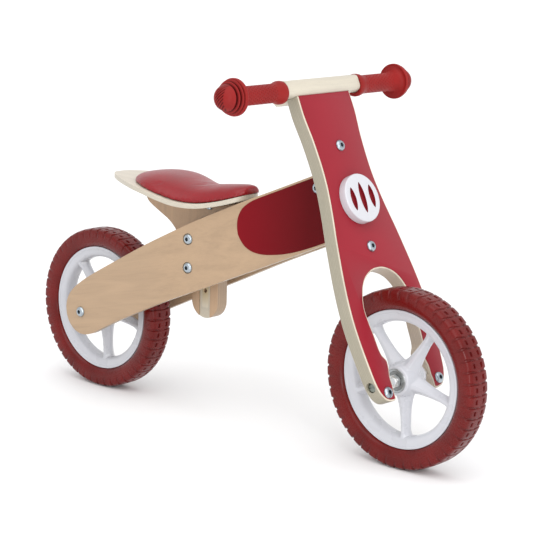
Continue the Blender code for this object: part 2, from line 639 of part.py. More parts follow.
def wheel(tag, root):
    v, f = lathe(TYRE, WHEEL_SEG, ring=True)
    solid(tag + "_tyre", v, f, FOAM, root, True)
    v, f = lathe(RIM, RIM_SEG, ring=True)
    rim = solid(tag + "_rim", v, f, WHITE, root, False)
    combine(rim, merge(*[spoke(SPOKE0 + 2 * math.pi * k / 5) for k in range(5)]), "UNION")
    combine(rim, lathe(HUB, 24), "UNION")
    seat_r = BEARING_R + GAP
    bore = lathe([(0, -.03), (seat_r, -.03), (seat_r, -.0145), (.0060, -.0145), (.0060, .0145),
                  (seat_r, .0145), (seat_r, .03), (0, .03)], 24)
    combine(rim, bore, "DIFFERENCE")
    for side, sgn in (("right", -1), ("left", 1)):
        prof = [(BORE_R, .0148), (BEARING_R, .0148), (BEARING_R, .0220), (BORE_R, .0220)]
        v, f = lathe([(r, sgn * y) for r, y in prof], 24, ring=True)
        solid(tag + "_bearing_" + side, v, f, STEEL, root)


def sleeve(name, root, parts, mat):
    v, f = lathe(parts, 14, ring=True)
    return solid(name, v, f, mat, root)


def axles():
    fork_axle = loc(AXLE_S, BOARD_T / 2)
    v, f = lathe([(0, -.0655), (AXLE_R, -.0655), (AXLE_R, .0655), (0, .0655)], 24)
    solid("front_axle", v, f, STEEL, FORK, True, fork_axle)
    for side, sgn in (("right", -1), ("left", 1)):
        prof = [(0, .0664), (.0058, .0664), (.0068, .0672), (.0068, .0722), (.0060, .0732), (0, .0732)]
        v, f = lathe([(r, sgn * y) for r, y in prof], 24)
        cap = solid("axle_cap_" + side, v, f, DARK_STEEL, FORK, False, fork_axle)
        lo, hi = sorted((sgn * .0720, sgn * .0800))
        combine(cap, prism([(-.0042, -.0009), (.0042, -.0009), (.0042, .0009), (-.0042, .0009)], lo, hi),
                "DIFFERENCE")
        ring = [(AXLE_R + GAP, .0224), (.0096, .0224), (.0096, .0285), (.0062, .0290),
                (.0062, .0417), (AXLE_R + GAP, .0417)]
        ob = sleeve("front_spacer_" + side, FORK, [(r, sgn * y) for r, y in ring], STEEL)
        ob.location = fork_axle
        ring = [(AXLE_R + GAP, .0224), (.0096, .0224), (.0096, .0285), (.0062, .0290),
                (.0062, .0426), (AXLE_R + GAP, .0426)]
        sleeve("rear_spacer_" + side, REAR, [(r, sgn * y) for r, y in ring], STEEL)
    y = BEAM_Y_REAR + .0002
    dome = bolt_profile(1)[:6] + [(AXLE_R, 0)]
    prof = [(r, y + t) for r, t in dome] + [(r, -y - t) for r, t in reversed(dome)]
    v, f = lathe(prof, 16)
    solid("rear_axle", v, f, STEEL, REAR, True)


fork()
lamp()
handlebar()
grips()
steering()
beam("beam_right", -1)
beam("beam_left", 1)
side_panel("side_panel_right", -1)
side_panel("side_panel_left", 1)
head()
seat()
post()
spacers()
wheel("front", FRONT)
wheel("rear", REAR)
axles()
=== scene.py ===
"""Looks of the wooden balance bike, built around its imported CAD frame.

Metres, +X forward, +Y the rider's left, +Z up.  "s" runs down the fork board from 1.5 mm
below its top edge and "w" runs back from the board's front face, as in the CAD.
"""
import json
import math

import bmesh
import bpy
from mathutils import Matrix, Vector, noise


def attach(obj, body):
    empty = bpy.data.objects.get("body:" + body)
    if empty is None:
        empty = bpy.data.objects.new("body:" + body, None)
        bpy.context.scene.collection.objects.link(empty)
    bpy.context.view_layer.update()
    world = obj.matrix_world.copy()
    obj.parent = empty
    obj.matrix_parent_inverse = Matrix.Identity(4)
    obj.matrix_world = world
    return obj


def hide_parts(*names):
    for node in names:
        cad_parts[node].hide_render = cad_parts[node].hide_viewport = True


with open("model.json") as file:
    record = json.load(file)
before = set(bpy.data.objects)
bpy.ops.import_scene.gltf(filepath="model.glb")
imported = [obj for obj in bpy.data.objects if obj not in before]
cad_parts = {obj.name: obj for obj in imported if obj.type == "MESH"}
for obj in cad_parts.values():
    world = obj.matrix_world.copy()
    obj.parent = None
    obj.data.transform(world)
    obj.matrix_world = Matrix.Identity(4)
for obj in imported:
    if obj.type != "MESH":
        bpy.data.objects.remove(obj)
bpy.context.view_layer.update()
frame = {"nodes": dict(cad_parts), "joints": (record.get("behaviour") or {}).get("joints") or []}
NODES = frame["nodes"]
JOINTS = {j["name"]: j for j in frame["joints"]}

# ---- the CAD's own datums, read from the frame ----
UP = Vector(JOINTS["steering"]["axis"]).normalized()
FWD = Vector((UP.z, 0, -UP.x))
PIVOT_W = 0.030
TOP = Vector(JOINTS["steering"]["pos_m"]) + FWD * PIVOT_W
FRONT_AXLE = Vector(JOINTS["front_wheel_spin"]["pos_m"])
REAR_AXLE = Vector(JOINTS["rear_wheel_spin"]["pos_m"])
TILT = math.atan2(-UP.x, UP.z)

# ---- sizes shared with the CAD ----
WHEEL_R = 0.125
AXLE_S = 0.4055
BOARD_T = 0.021
BEAM_T = 0.012
BEAM_Y_FRONT, BEAM_Y_REAR = 0.020, 0.055
FORK_BOLT_S = (0.0749, 0.2201)
LEG_BOLT_S, LEG_BOLT_Y = 0.4178, 0.0566
HEAD_BOLT_S, HEAD_BOLT_W = (0.1204, 0.1800), 0.0435
GRIP_S, GRIP_W = -0.0104, 0.0080
LAMP_S, LAMP_R, LAMP_T, LAMP_RECESS = 0.1535, 0.0345, 0.0118, 0.0040
BOARD_TOP = -0.0015
POST_X, POST_T, POST_END_R = -0.0740, 0.0105, 0.0265
GROOVE_HALF, GROOVE_DEEP = 0.011, 0.0018
BOLT_Z = (0.2268, 0.2688)
HOLE_Z = (0.1875, 0.2075, 0.2475)
BASE_T = 0.0070
HEAD_R, SHANK_R, REAR_SHANK_R = 0.0080, 0.0030, 0.0040
BEND_W, BEND_SOFT = (0.166, 0.360), 0.012        # where a beam bends outwards and back
SIDES = (("right", -1), ("left", 1))


# ---- curves

def spline(points, step):
    """Points every step or so along a centripetal Catmull-Rom curve through the given ones."""
    pts = [Vector(p) for p in points]
    pts = [2 * pts[0] - pts[1]] + pts + [2 * pts[-1] - pts[-2]]
    out = [pts[1]]
    for p0, p1, p2, p3 in zip(pts, pts[1:], pts[2:], pts[3:]):
        t1 = (p1 - p0).length ** 0.5
        t2 = t1 + max((p2 - p1).length ** 0.5, 1e-6)
        t3 = t2 + (p3 - p2).length ** 0.5
        n = max(1, round((p2 - p1).length / step))
        for k in range(1, n + 1):
            t = t1 + (t2 - t1) * k / n
            a1 = p0 * ((t1 - t) / t1) + p1 * (t / t1)
            a2 = p1 * ((t2 - t) / (t2 - t1)) + p2 * ((t - t1) / (t2 - t1))
            a3 = p2 * ((t3 - t) / (t3 - t2)) + p3 * ((t - t2) / (t3 - t2))
            b1 = a1 * ((t2 - t) / t2) + a2 * (t / t2)
            b2 = a2 * ((t3 - t) / (t3 - t1)) + a3 * ((t - t1) / (t3 - t1))
            out.append(b1 * ((t2 - t) / (t2 - t1)) + b2 * ((t - t1) / (t2 - t1)))
    return [tuple(p) for p in out]


def table(points):
    """A smooth function through (x, value) points."""
    fine = spline(points, 0.001)

    def value(x):
        if x <= fine[0][0]:
            return fine[0][1]
        for (a, p), (b, q) in zip(fine, fine[1:]):
            if x <= b:
                return p + (q - p) * (x - a) / max(b - a, 1e-9)
        return fine[-1][1]
    return value


def arc(cx, cy, r, a0, a1, n):
    """n steps round a circle from a0 to a1 degrees."""
    turns = [math.radians(a0 + (a1 - a0) * k / n) for k in range(n + 1)]
    return [(cx + r * math.cos(a), cy + r * math.sin(a)) for a in turns]


def offset(outline, d):
    """Move a closed outline inwards by d along its averaged edge normals."""
    area = sum(a[0] * b[1] - b[0] * a[1] for a, b in zip(outline, outline[1:] + outline[:1]))
    sign = 1 if area > 0 else -1
    out = []
    for i, p in enumerate(outline):
        a, b = outline[i - 1], outline[(i + 1) % len(outline)]
        n = Vector((0, 0))
        for e in (Vector(p) - Vector(a), Vector(b) - Vector(p)):
            e.normalize()
            n += Vector((-e.y, e.x)) * sign
        n.normalize()
        out.append((p[0] + n.x * d, p[1] + n.y * d))
    return out


def smoothstep(a, b, x):
    t = min(1.0, max(0.0, (x - a) / (b - a)))
    return t * t * (3 - 2 * t)


def stations(a, b, step, ends):
    """Places from a to b, closer together over the given length at each end."""
    out, n = [], 12
    near, far = ends
    if near:
        out += [a + near * (1 - math.cos(math.pi / 2 * k / n)) for k in range(n)]
    m = max(1, round((b - far - a - near) / step))
    out += [a + near + (b - far - a - near) * k / m for k in range(m + 1)]
    if far:
        out += [b - far + far * math.sin(math.pi / 2 * k / n) for k in range(1, n + 1)]
    return out


# ---- meshes

def link(name, data):
    ob = bpy.data.objects.new(name, data)
    bpy.context.scene.collection.objects.link(ob)
    return ob


def make(name, verts, faces):
    bm = bmesh.new()
    vs = [bm.verts.new(v) for v in verts]
    for f in faces:
        bm.faces.new([vs[i] for i in f])
    bmesh.ops.remove_doubles(bm, verts=bm.verts, dist=1e-6)
    bmesh.ops.recalc_face_normals(bm, faces=bm.faces)
    me = bpy.data.meshes.new(name)
    bm.to_mesh(me)
    bm.free()
    return link(name, me)


def loft(rings, closed=False):
    n, m = len(rings[0]), len(rings)
    verts = [v for ring in rings for v in ring]
    faces = []
    for i in range(m if closed else m - 1):
        a, b = i * n, ((i + 1) % m) * n
        faces += [(a + j, a + (j + 1) % n, b + (j + 1) % n, b + j) for j in range(n)]
    if not closed:
        faces += [tuple(range(n)), tuple((m - 1) * n + j for j in range(n))]
    return verts, faces


def lathe(profile, seg, ring=False, radius=None):
    """Turn (radius, place) about X; radius(r, t, angle) may change each point's radius."""
    verts, rows, faces = [], [], []
    for r, t in profile:
        rows.append(list(range(len(verts), len(verts) + (seg if r > 1e-9 else 1))))
        for k in range(len(rows[-1])):
            a = 2 * math.pi * k / seg
            q = radius(r, t, a) if radius and r > 1e-9 else r
            verts.append((t, q * math.cos(a), q * math.sin(a)))
    for a, b in list(zip(rows, rows[1:])) + ([(rows[-1], rows[0])] if ring else []):
        for k in range(seg if len(a) + len(b) > 2 else 0):
            j = (k + 1) % seg
            if len(a) == 1:
                faces.append((a[0], b[k], b[j]))
            elif len(b) == 1:
                faces.append((a[k], b[0], a[j]))
            else:
                faces.append((a[k], b[k], b[j], a[j]))
    return verts, faces


def placed(shape, at, axis):
    """Turn a shape made along +X so that it points along axis, and put it at a place."""
    x = Vector(axis).normalized()
    z = Vector((0, 0, 1)) if abs(x.z) < 0.9 else Vector((1, 0, 0))
    y = z.cross(x).normalized()
    z = x.cross(y)
    at = Vector(at)
    return [at + x * v[0] + y * v[1] + z * v[2] for v in shape[0]], shape[1]


def merge(*shapes):
    """Several shapes as one list of vertices and one of faces."""
    verts, faces = [], []
    for v, f in shapes:
        base = len(verts)
        verts += list(v)
        faces += [tuple(i + base for i in q) for q in f]
    return verts, faces


def rod(r, lo, hi, at, axis, seg=48):
    return placed(lathe([(0, lo), (r, lo), (r, hi), (0, hi)], seg), at, axis)


def turned_pair(node, suffix, prof, at, seg, radius=None, ring=True):
    """The same turned piece on the right and on the left; yields each with its node's name."""
    for side, sgn in SIDES:
        name = "%s_%s" % (node, side)
        yield make(name + suffix, *placed(lathe(prof, seg, ring, radius), at, (0, sgn, 0))), name, sgn


def hex_turn(a):
    """Angle from the middle of the nearest of six flats."""
    return (a + math.pi / 6) % (math.pi / 3) - math.pi / 6


def rounded_slab(outline, put, depth, r, steps=4):
    """Slab with rounded edges: put(u, v, t) places a point, t runs from 0 to depth."""
    rings = []
    for k in range(steps + 1):
        a = math.pi / 2 * k / steps
        ring = offset(outline, r * (1 - math.sin(a))) if k < steps else outline
        rings.append((ring, r * (1 - math.cos(a))))
    rings += [(ring, depth - t) for ring, t in reversed(rings)]
    return loft([[put(u, v, t) for u, v in ring] for ring, t in rings])


def modified(ob, kind, **settings):
    """Apply one modifier and keep the result as plain mesh."""
    mod = ob.modifiers.new("step", kind)
    for key, value in settings.items():
        setattr(mod, key, value)
    bpy.context.view_layer.update()
    me = bpy.data.meshes.new_from_object(ob.evaluated_get(bpy.context.evaluated_depsgraph_get()))
    ob.modifiers.clear()
    old, name = ob.data, ob.data.name
    ob.data = me
    bpy.data.meshes.remove(old)
    me.name = name


def boolean(ob, shape, how="DIFFERENCE"):
    tool = make("tool", *shape)
    modified(ob, "BOOLEAN", object=tool, operation=how, solver="EXACT")
    bpy.data.objects.remove(tool, do_unlink=True)
    bm = bmesh.new()
    bm.from_mesh(ob.data)
    bmesh.ops.remove_doubles(bm, verts=bm.verts, dist=2e-6)
    bmesh.ops.dissolve_degenerate(bm, edges=bm.edges, dist=2e-6)
    bm.to_mesh(ob.data)
    bm.free()


def bevel(ob, width, segments, angle):
    modified(ob, "BEVEL", width=width, segments=segments, limit_method="ANGLE",
             angle_limit=math.radians(angle), use_clamp_overlap=True)


def dress(ob, mats, body, node, angle=35):
    """Shade a finished piece, give it its material or two, and tie it to the frame."""
    ob.data.shade_smooth()
    ob.data.set_sharp_from_angle(angle=math.radians(angle))
    ob.data.materials.clear()
    for m in mats if isinstance(mats, list) else [mats]:
        ob.data.materials.append(m)
    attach(ob, body)
    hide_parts(node)


def paint_faces(ob, test):
    """Give the faces whose centre and normal pass the test the second of two materials."""
    for p in ob.data.polygons:
        if test(p.center, p.normal):
            p.material_index = 1


def mark(ob, name, value):
    """Store a number for each vertex, for the material to read."""
    layer = ob.data.attributes.new(name, "FLOAT", "POINT")
    layer.data.foreach_set("value", [value(v.co) for v in ob.data.vertices])


# ---- materials

class Nodes:
    """Short names for building one material."""

    def __init__(self, name):
        self.mat = bpy.data.materials.new(name)
        self.mat.use_nodes = True
        self.tree = self.mat.node_tree
        self.shader = self.tree.nodes["Principled BSDF"]

    def add(self, kind, inputs=(), out=0, **props):
        node = self.tree.nodes.new(kind)
        for key, value in props.items():
            setattr(node, key, value)
        for key, value in dict(inputs).items():
            self.put(node.inputs[key], value)
        return node.outputs[out]

    def put(self, socket, value):
        if isinstance(value, bpy.types.NodeSocket):
            self.tree.links.new(value, socket)
        else:
            socket.default_value = value

    def set(self, **values):
        for key, value in values.items():
            self.put(self.shader.inputs[key.replace("_", " ")], value)

    def coords(self, scale=(1, 1, 1), turn=(0, 0, 0)):
        """Object coordinates turned first and then stretched by scale."""
        where = self.add("ShaderNodeTexCoord", out="Object")
        return self.add("ShaderNodeMapping", {"Vector": where, "Rotation": turn,
                        "Scale": [1 / c for c in scale]}, vector_type="TEXTURE")

    def noise(self, vector, scale, detail=4, rough=0.55, distortion=0.0):
        return self.add("ShaderNodeTexNoise", {"Vector": vector, "Scale": scale, "Detail": detail,
                        "Roughness": rough, "Distortion": distortion})

    def grain(self, scale, detail=4, rough=0.55, distortion=0.0, turn=(0, 0, 0)):
        """Noise in object coordinates; scale is one number, or one for each axis."""
        scale = scale if isinstance(scale, tuple) else (scale,) * 3
        return self.noise(self.coords(scale, turn), 1.0, detail, rough, distortion)

    def math(self, op, a, b=0.0):
        return self.add("ShaderNodeMath", {0: a, 1: b}, operation=op)

    def span(self, value, a, b, c, d):
        return self.add("ShaderNodeMapRange", {"Value": value, "From Min": a, "From Max": b,
                        "To Min": c, "To Max": d})

    def ramp(self, value, stops):
        out = self.add("ShaderNodeValToRGB", {"Fac": value})
        band = out.node.color_ramp
        while len(band.elements) < len(stops):
            band.elements.new(0.5)
        for e, (at, rgb) in zip(band.elements, stops):
            e.position, e.color = at, (*rgb, 1)
        return out

    def vary(self, value, rgb, low, high, a=0.3, b=0.7):
        """The colour from low times at a to high times at b."""
        return self.ramp(value, [(a, shades(rgb, low)), (b, shades(rgb, high))])

    def mix(self, factor, a, b):
        node = self.tree.nodes.new("ShaderNodeMix")
        node.data_type = "RGBA"
        self.put(node.inputs[0], factor)
        for socket, value in ((node.inputs[6], a), (node.inputs[7], b)):
            self.put(socket, (*value, 1) if isinstance(value, tuple) and len(value) == 3 else value)
        return node.outputs[2]

    def bump(self, height, distance, strength):
        return self.add("ShaderNodeBump", {"Height": height, "Distance": distance,
                        "Strength": strength})


def shades(rgb, k):
    return tuple(min(1.0, c * k) for c in rgb)


def plywood(name, rgb, tilt, layers, edge, figure=1.0, across=0.0):
    """Lacquered veneer with a long grain; where the ply mark is between 0 and 1 the lay-up shows."""
    n = Nodes(name)
    turn = (0, -tilt, across)
    broad = n.grain((5, 60, 42), 3, 0.5, 1.6, turn)
    fine = n.grain((14, 620, 420), 5, 0.6, 0.3, turn)
    pores = n.grain((420, 2600, 2600), 2, 0.4, turn=turn)
    streaks = n.math("ADD", n.math("MULTIPLY", broad, 0.62), n.math("MULTIPLY", fine, 0.38))
    face = n.ramp(streaks, [(0.36, shades(rgb, 1 - 0.17 * figure)), (0.5, rgb),
                            (0.66, shades(rgb, 1 + 0.13 * figure))])
    dots = n.span(pores, 0.62, 0.72, 0.0, 0.35)
    face = n.mix(dots, face, shades(rgb, 0.62))
    ply = n.add("ShaderNodeAttribute", out="Fac", attribute_name="ply")
    wave = n.math("PINGPONG", n.math("MULTIPLY", ply, float(layers)), 1.0)
    cross = n.span(wave, 0.46, 0.54, 0.0, 1.0)
    glue = n.span(n.math("ABSOLUTE", n.math("SUBTRACT", wave, 0.5)), 0.0, 0.07, 0.45, 0.0)
    long_ply = n.vary(fine, edge, 0.93, 1.08, 0.35, 0.65)
    end_ply = n.vary(n.grain(900, 3), edge, 0.84, 0.98)
    side = n.mix(glue, n.mix(cross, long_ply, end_ply), shades(edge, 0.72))
    inside = n.math("MINIMUM", n.span(ply, 0.0, 0.05, 0.0, 1.0), n.span(ply, 0.95, 1.0, 1.0, 0.0))
    n.set(Base_Color=n.mix(inside, face, side), Roughness=n.span(fine, 0.3, 0.7, 0.37, 0.51),
          Coat_Weight=0.12, Coat_Roughness=0.25,
          Normal=n.bump(n.math("ADD", fine, n.math("MULTIPLY", dots, -1.5)), 0.00012, 0.5))
    return n.mat


def paint(name, rgb, rough=0.34, fork_shade=None, shine=0.32):
    """Satin lacquer: faint orange peel, cloudy gloss and a few hairline rubs.

    The painted shade, if given, is two places along X and the darker colour that the paint turns to between
    them, towards the fork board.
    """
    n = Nodes(name)
    cloud = n.grain(9, 3)
    peel = n.grain(520, 2, 0.4)
    rubs = n.grain((30, 1500, 900), 2, turn=(0.4, 0.9, 0.2))
    colour = n.vary(cloud, rgb, 0.93, 1.06)
    colour = n.mix(n.span(rubs, 0.7, 0.8, 0.0, 0.10), colour, shades(rgb, 1.6))
    # painted shade: the paint darkens along X towards the fork board
    if fork_shade:
        (x0, x1), dark = fork_shade
        place = n.add("ShaderNodeSeparateXYZ", {0: n.coords()}, out="X")
        colour = n.mix(n.span(place, x0, x1, 0.0, 1.0), colour, dark)
    n.set(Base_Color=colour, Roughness=n.span(cloud, 0.3, 0.7, rough - 0.04, rough + 0.05),
          Specular_IOR_Level=shine, Coat_Weight=0.15 * shine, Coat_Roughness=0.2,
          Normal=n.bump(peel, 0.00006, 0.35))
    return n.mat


def leatherette(name, rgb):
    """Smooth cover with a fine pebble grain, painted shade in its hollows and slightly worn patches."""
    n = Nodes(name)
    where = n.coords()
    warp = n.noise(where, 160, 3)
    cells = n.add("ShaderNodeTexVoronoi", {"Vector": n.mix(0.02, where, warp.node.outputs["Color"]),
                  "Scale": 780, "Randomness": 0.95}, feature="F1")
    worn = n.noise(where, 26, 4)
    rough = n.math("ADD", n.span(worn, 0.3, 0.7, 0.27, 0.33), n.math("MULTIPLY", cells, 0.06))
    colour = n.vary(worn, rgb, 0.9, 1.1)
    # painted shade: the pebble grain's hollows are darker
    colour = n.mix(n.span(cells, 0.45, 0.8, 0.0, 0.35), colour, shades(rgb, 0.6))
    n.set(Base_Color=colour, Roughness=rough, Specular_IOR_Level=0.38, Sheen_Weight=0.03,
          Sheen_Roughness=0.4, Coat_Weight=0.12, Coat_Roughness=0.18,
          Normal=n.bump(n.math("MULTIPLY", cells, -1.0), 0.00016, 0.5))
    return n.mat


def rubber(name, rgb, rough, grain=900, cloudy=0.12, gloss=0.0):
    """Cloudy moulded rubber or foam, darkened by painted shade in its grooves and hollows where the vertex
    mark is high.
    """
    n = Nodes(name)
    cloud = n.grain(22)
    skin = n.grain(grain, 3)
    colour = n.vary(cloud, rgb, 1 - cloudy, 1 + cloudy)
    # painted shade: the colour turns darker where the mark of the grooves and hollows is high
    recess_shade = n.add("ShaderNodeAttribute", out="Fac", attribute_name="recess_shade")
    n.set(Base_Color=n.mix(recess_shade, colour, shades(rgb, 0.22)),
          Roughness=n.span(skin, 0.3, 0.7, rough - 0.06, rough + 0.08), Specular_IOR_Level=0.16,
          Coat_Weight=gloss, Coat_Roughness=0.20, Normal=n.bump(skin, 0.00008, 0.28))
    return n.mat


def plastic(name, rgb, rough=0.28):
    """Glossy moulded plastic with a faint flow pattern."""
    n = Nodes(name)
    cloud = n.grain(30, 3)
    n.set(Base_Color=n.vary(cloud, rgb, 0.985, 1.01),
          Roughness=n.span(cloud, 0.3, 0.7, rough - 0.02, rough + 0.03), Coat_Weight=0.3,
          Coat_Roughness=0.12, Normal=n.bump(n.grain(700, 2), 0.00004, 0.25))
    return n.mat


def metal(name, rgb, rough, tint):
    """Plated steel in two cloudy tones with fine drawn lines."""
    n = Nodes(name)
    cloud = n.grain(160, 3)
    lines = n.grain((300, 5200, 300), 2)
    n.set(Base_Color=n.mix(n.span(cloud, 0.35, 0.65, 0.0, 0.5), rgb, tint), Metallic=1.0,
          Roughness=n.span(lines, 0.3, 0.7, rough - 0.06, rough + 0.10),
          Normal=n.bump(lines, 0.00003, 0.3))
    return n.mat


UPRIGHT = math.radians(90)
BEECH_RGB, BEECH_EDGE = (0.405, 0.275, 0.168), (0.44, 0.34, 0.24)
BIRCH_RGB = (0.66, 0.575, 0.46)
BEAM_WOOD = plywood("beam_beech_ply", BEECH_RGB, math.radians(13), 9, BEECH_EDGE, 0.55)
HEAD_WOOD = plywood("head_beech", BEECH_RGB, TILT, 9, (0.52, 0.46, 0.36))
POST_WOOD = plywood("post_beech_ply", (0.415, 0.268, 0.158), UPRIGHT, 9, (0.38, 0.27, 0.18), 0.6)
POST_CORE = plywood("post_groove_wood", (0.47, 0.37, 0.21), UPRIGHT, 9, (0.52, 0.46, 0.36), 0.6)
BOARD_WOOD = plywood("board_birch_ply", BIRCH_RGB, TILT + UPRIGHT, 15, (0.33, 0.298, 0.225))
# painted light: a paler copy of the board's ply for its shaded edges inside the arch
ARCH_LIT_WOOD = plywood("board_arch_ply_painted_light", BIRCH_RGB, TILT + UPRIGHT, 15, (0.60, 0.50, 0.39))
SEAT_WOOD = plywood("seat_maple_ply", (0.58, 0.52, 0.43), 0.0, 7, (0.55, 0.50, 0.41), 0.5)
BAR_WOOD = plywood("bar_maple", (0.575, 0.525, 0.43), 0.0, 1, (0.52, 0.46, 0.36), 0.45, UPRIGHT)
RED = paint("fork_red_paint", (0.275, 0.0125, 0.024), shine=0.26)
# painted shade: darker towards the fork board between x = -0.03 and 0.13
DARK_RED = paint("panel_dark_red_paint", (0.215, 0.007, 0.013), 0.42,
                 ((-0.03, 0.13), (0.10, 0.003, 0.005)), 0.06)
LEATHER = leatherette("seat_red_leatherette", (0.25, 0.004, 0.009))
GRIP_RUBBER = rubber("grip_red_rubber", (0.26, 0.014, 0.013), 0.45)
TYRE_FOAM = rubber("tyre_red_foam", (0.124, 0.0045, 0.0036), 0.27, 700, 0.2, 0.22)
WHITE = plastic("wheel_white_nylon", (0.515, 0.52, 0.555))
LAMP_WHITE = plastic("lamp_white_plastic", (0.57, 0.57, 0.605), 0.22)
LAMP_RED = paint("lamp_slot_red_paint", (0.20, 0.008, 0.014))
ZINC = metal("bright_zinc", (0.44, 0.49, 0.53), 0.26, (0.28, 0.34, 0.39))
SOCKET = metal("socket_shadow_zinc", (0.10, 0.12, 0.14), 0.45, (0.16, 0.18, 0.20))
NUT_ZINC = metal("pale_zinc_nut", (0.86, 0.87, 0.86), 0.38, (0.80, 0.83, 0.84))
BEARING = metal("bearing_steel", (0.46, 0.48, 0.49), 0.30, (0.36, 0.39, 0.41))
SEAL = metal("bearing_dark_seal", (0.27, 0.28, 0.28), 0.42, (0.19, 0.20, 0.20))
BLACK_STEEL = metal("blackened_steel", (0.24, 0.26, 0.23), 0.32, (0.10, 0.12, 0.11))
NYLON = plastic("washer_nylon", (0.72, 0.72, 0.70), 0.45)


# ---- fork board

OUTER = [(BOARD_TOP, .0556), (.012, .0562), (.028, .0561), (.044, .0545), (.060, .0526),
         (.080, .0515), (.105, .0512), (.125, .0523), (.145, .0550), (.170, .0597),
         (.200, .0664), (.230, .0722), (.260, .0775), (.285, .0808), (.305, .0824),
         (.325, .0829), (.350, .0819), (.380, .0792), (.400, .0767), (.411, .0741),
         (.419, .0703), (.425, .0655), (.429, .0592), (.4305, .0520)]
INNER = [(.4303, .0462), (.4280, .0428), (.4170, .0430), (.4125, .0420), (.3985, .0420), (.3910, .0399),
         (.3820, .0382), (.3765, .0381), (.3725, .0402), (.3675, .0443), (.3600, .0465),
         (.3400, .0482), (.3200, .0506), (.3060, .0515), (.2940, .0498), (.2840, .0460),
         (.2740, .0410), (.2650, .0338), (.2590, .0255), (.2545, .0155), (.2527, .0078), (.2523, 0)]
BOARD_EDGE_R = .0012
PAINT_T, PAINT_MARGIN, PAINT_TOP = .0006, .0024, -.0009
CUP_R, CUP_Y, THROUGH_Y = .0071, (.066, .09), .09
ARCH_S, ARCH_WIDE_S, ARCH_HALF = .250, .290, .044


def spot(s, w, y=0.0):
    """A place s down the board, w behind its front face and y to the left of its middle."""
    return TOP - UP * s - FWD * w + Vector((0, y, 0))


def forked(at, u, v, y):
    """A place u forward, v up and y to the left of another, in the fork's own tilt."""
    return at + FWD * u + UP * v + Vector((0, y, 0))


def board_outline():
    """(y, s) round the board; each foot is one curve through the last outer and first inner points."""
    foot = spline(OUTER[-3:] + INNER[:4], 0.0012)
    first = foot.index(min(foot, key=lambda p: (Vector(p) - Vector(OUTER[-1])).length))
    last = foot.index(min(foot, key=lambda p: (Vector(p) - Vector(INNER[1])).length))
    half = spline(OUTER, 0.004)[:-1] + foot[first:last] + spline(INNER[1:], 0.0016)
    return [(y, s) for s, y in half] + [(-y, s) for s, y in reversed(half[:-1])]


def bar_section(more, n=6):
    """Middle of the handlebar, a little above the grips' axis; more widens it."""
    hu, hv, r = .0120 + more, .0115 + more, .0070 + more
    pts = []
    for cu, cv, a0 in ((1, 1, 0), (-1, 1, 90), (-1, -1, 180), (1, -1, 270)):
        pts += arc(cu * (hu - r) + .0009, cv * (hv - r) + .0023, r, a0, a0 + 90, n)
    return pts


def fork_board():
    """Board with the bar's cradle and the axle caps' cups, and the paint film on its face."""
    outline = board_outline()
    wood = BOARD_T - PAINT_T
    ob = make("fork_board_shaped",
              *rounded_slab(outline, lambda y, s, t: spot(s, PAINT_T + t, y), wood, BOARD_EDGE_R))
    at = spot(GRIP_S, GRIP_W)
    cradle = bar_section(.0003)
    boolean(ob, loft([[forked(at, u, v, y) for u, v in cradle] for y in (-THROUGH_Y, THROUGH_Y)]))
    middle, (near, far) = spot(AXLE_S, BOARD_T / 2), CUP_Y
    boolean(ob, merge(*[rod(CUP_R, a, b, middle, (0, 1, 0)) for a, b in ((-far, -near), (near, far))]))
    mark(ob, "ply", lambda p: ((TOP - p).dot(FWD) - PAINT_T) / wood)
    dress(ob, [BOARD_WOOD, ARCH_LIT_WOOD], "fork", "fork_board")

    def in_arch(c, n):
        """On the board's edge inside the arch, where a paler copy of the ply is painted light against the
        shade there.
        """
        s = (TOP - c).dot(UP)
        under = abs(c.y) < ARCH_HALF and s < ARCH_WIDE_S
        return s > ARCH_S and abs(n.dot(FWD)) < .5 and (n.y * c.y < 0 or under)
    paint_faces(ob, in_arch)

    skin = [(y, min(s, PAINT_TOP) if s < .0045 else s) for y, s in offset(outline, PAINT_MARGIN)]
    ob = make("fork_face_painted", *rounded_slab(skin, lambda y, s, t: spot(s, t, y), .0005, .0002, 2))
    dress(ob, RED, "fork", "fork_face", 30)


# ---- bolts

HEAD_TOP, SOCKET_R, SOCKET_DEEP = .0042, .0029, .0030
HEAD_SIDE = [(0, HEAD_TOP - SOCKET_DEEP), (SOCKET_R, HEAD_TOP - SOCKET_DEEP),
             (SOCKET_R, HEAD_TOP - .0003), (SOCKET_R * 1.12, HEAD_TOP), (.0045, HEAD_TOP - .0001),
             (.0056, HEAD_TOP - .0005), (.0064, .0031), (.0072, .0022), (.0078, .0012),
             (HEAD_R, .0005), (.0079, 0)]
NUT_SIDE = [(.0062, 0), (.0066, .0006), (.0066, .0040), (.0062, .0046), (SHANK_R, .0046),
            (SHANK_R, .0070), (0, .0070)]
SOCKET_FLAT, NUT_FLAT = .93, .90                 # flats against the radius in the profile
SKIN = .0002                                     # from a CAD face to the seat of a bolt's head
FORK_BOLT_L, LEG_BOLT_L = .0248, .0160
HEAD_BOLT_OUT, POST_BOLT_IN = .0008, .0012       # their seats against the beams' outer faces


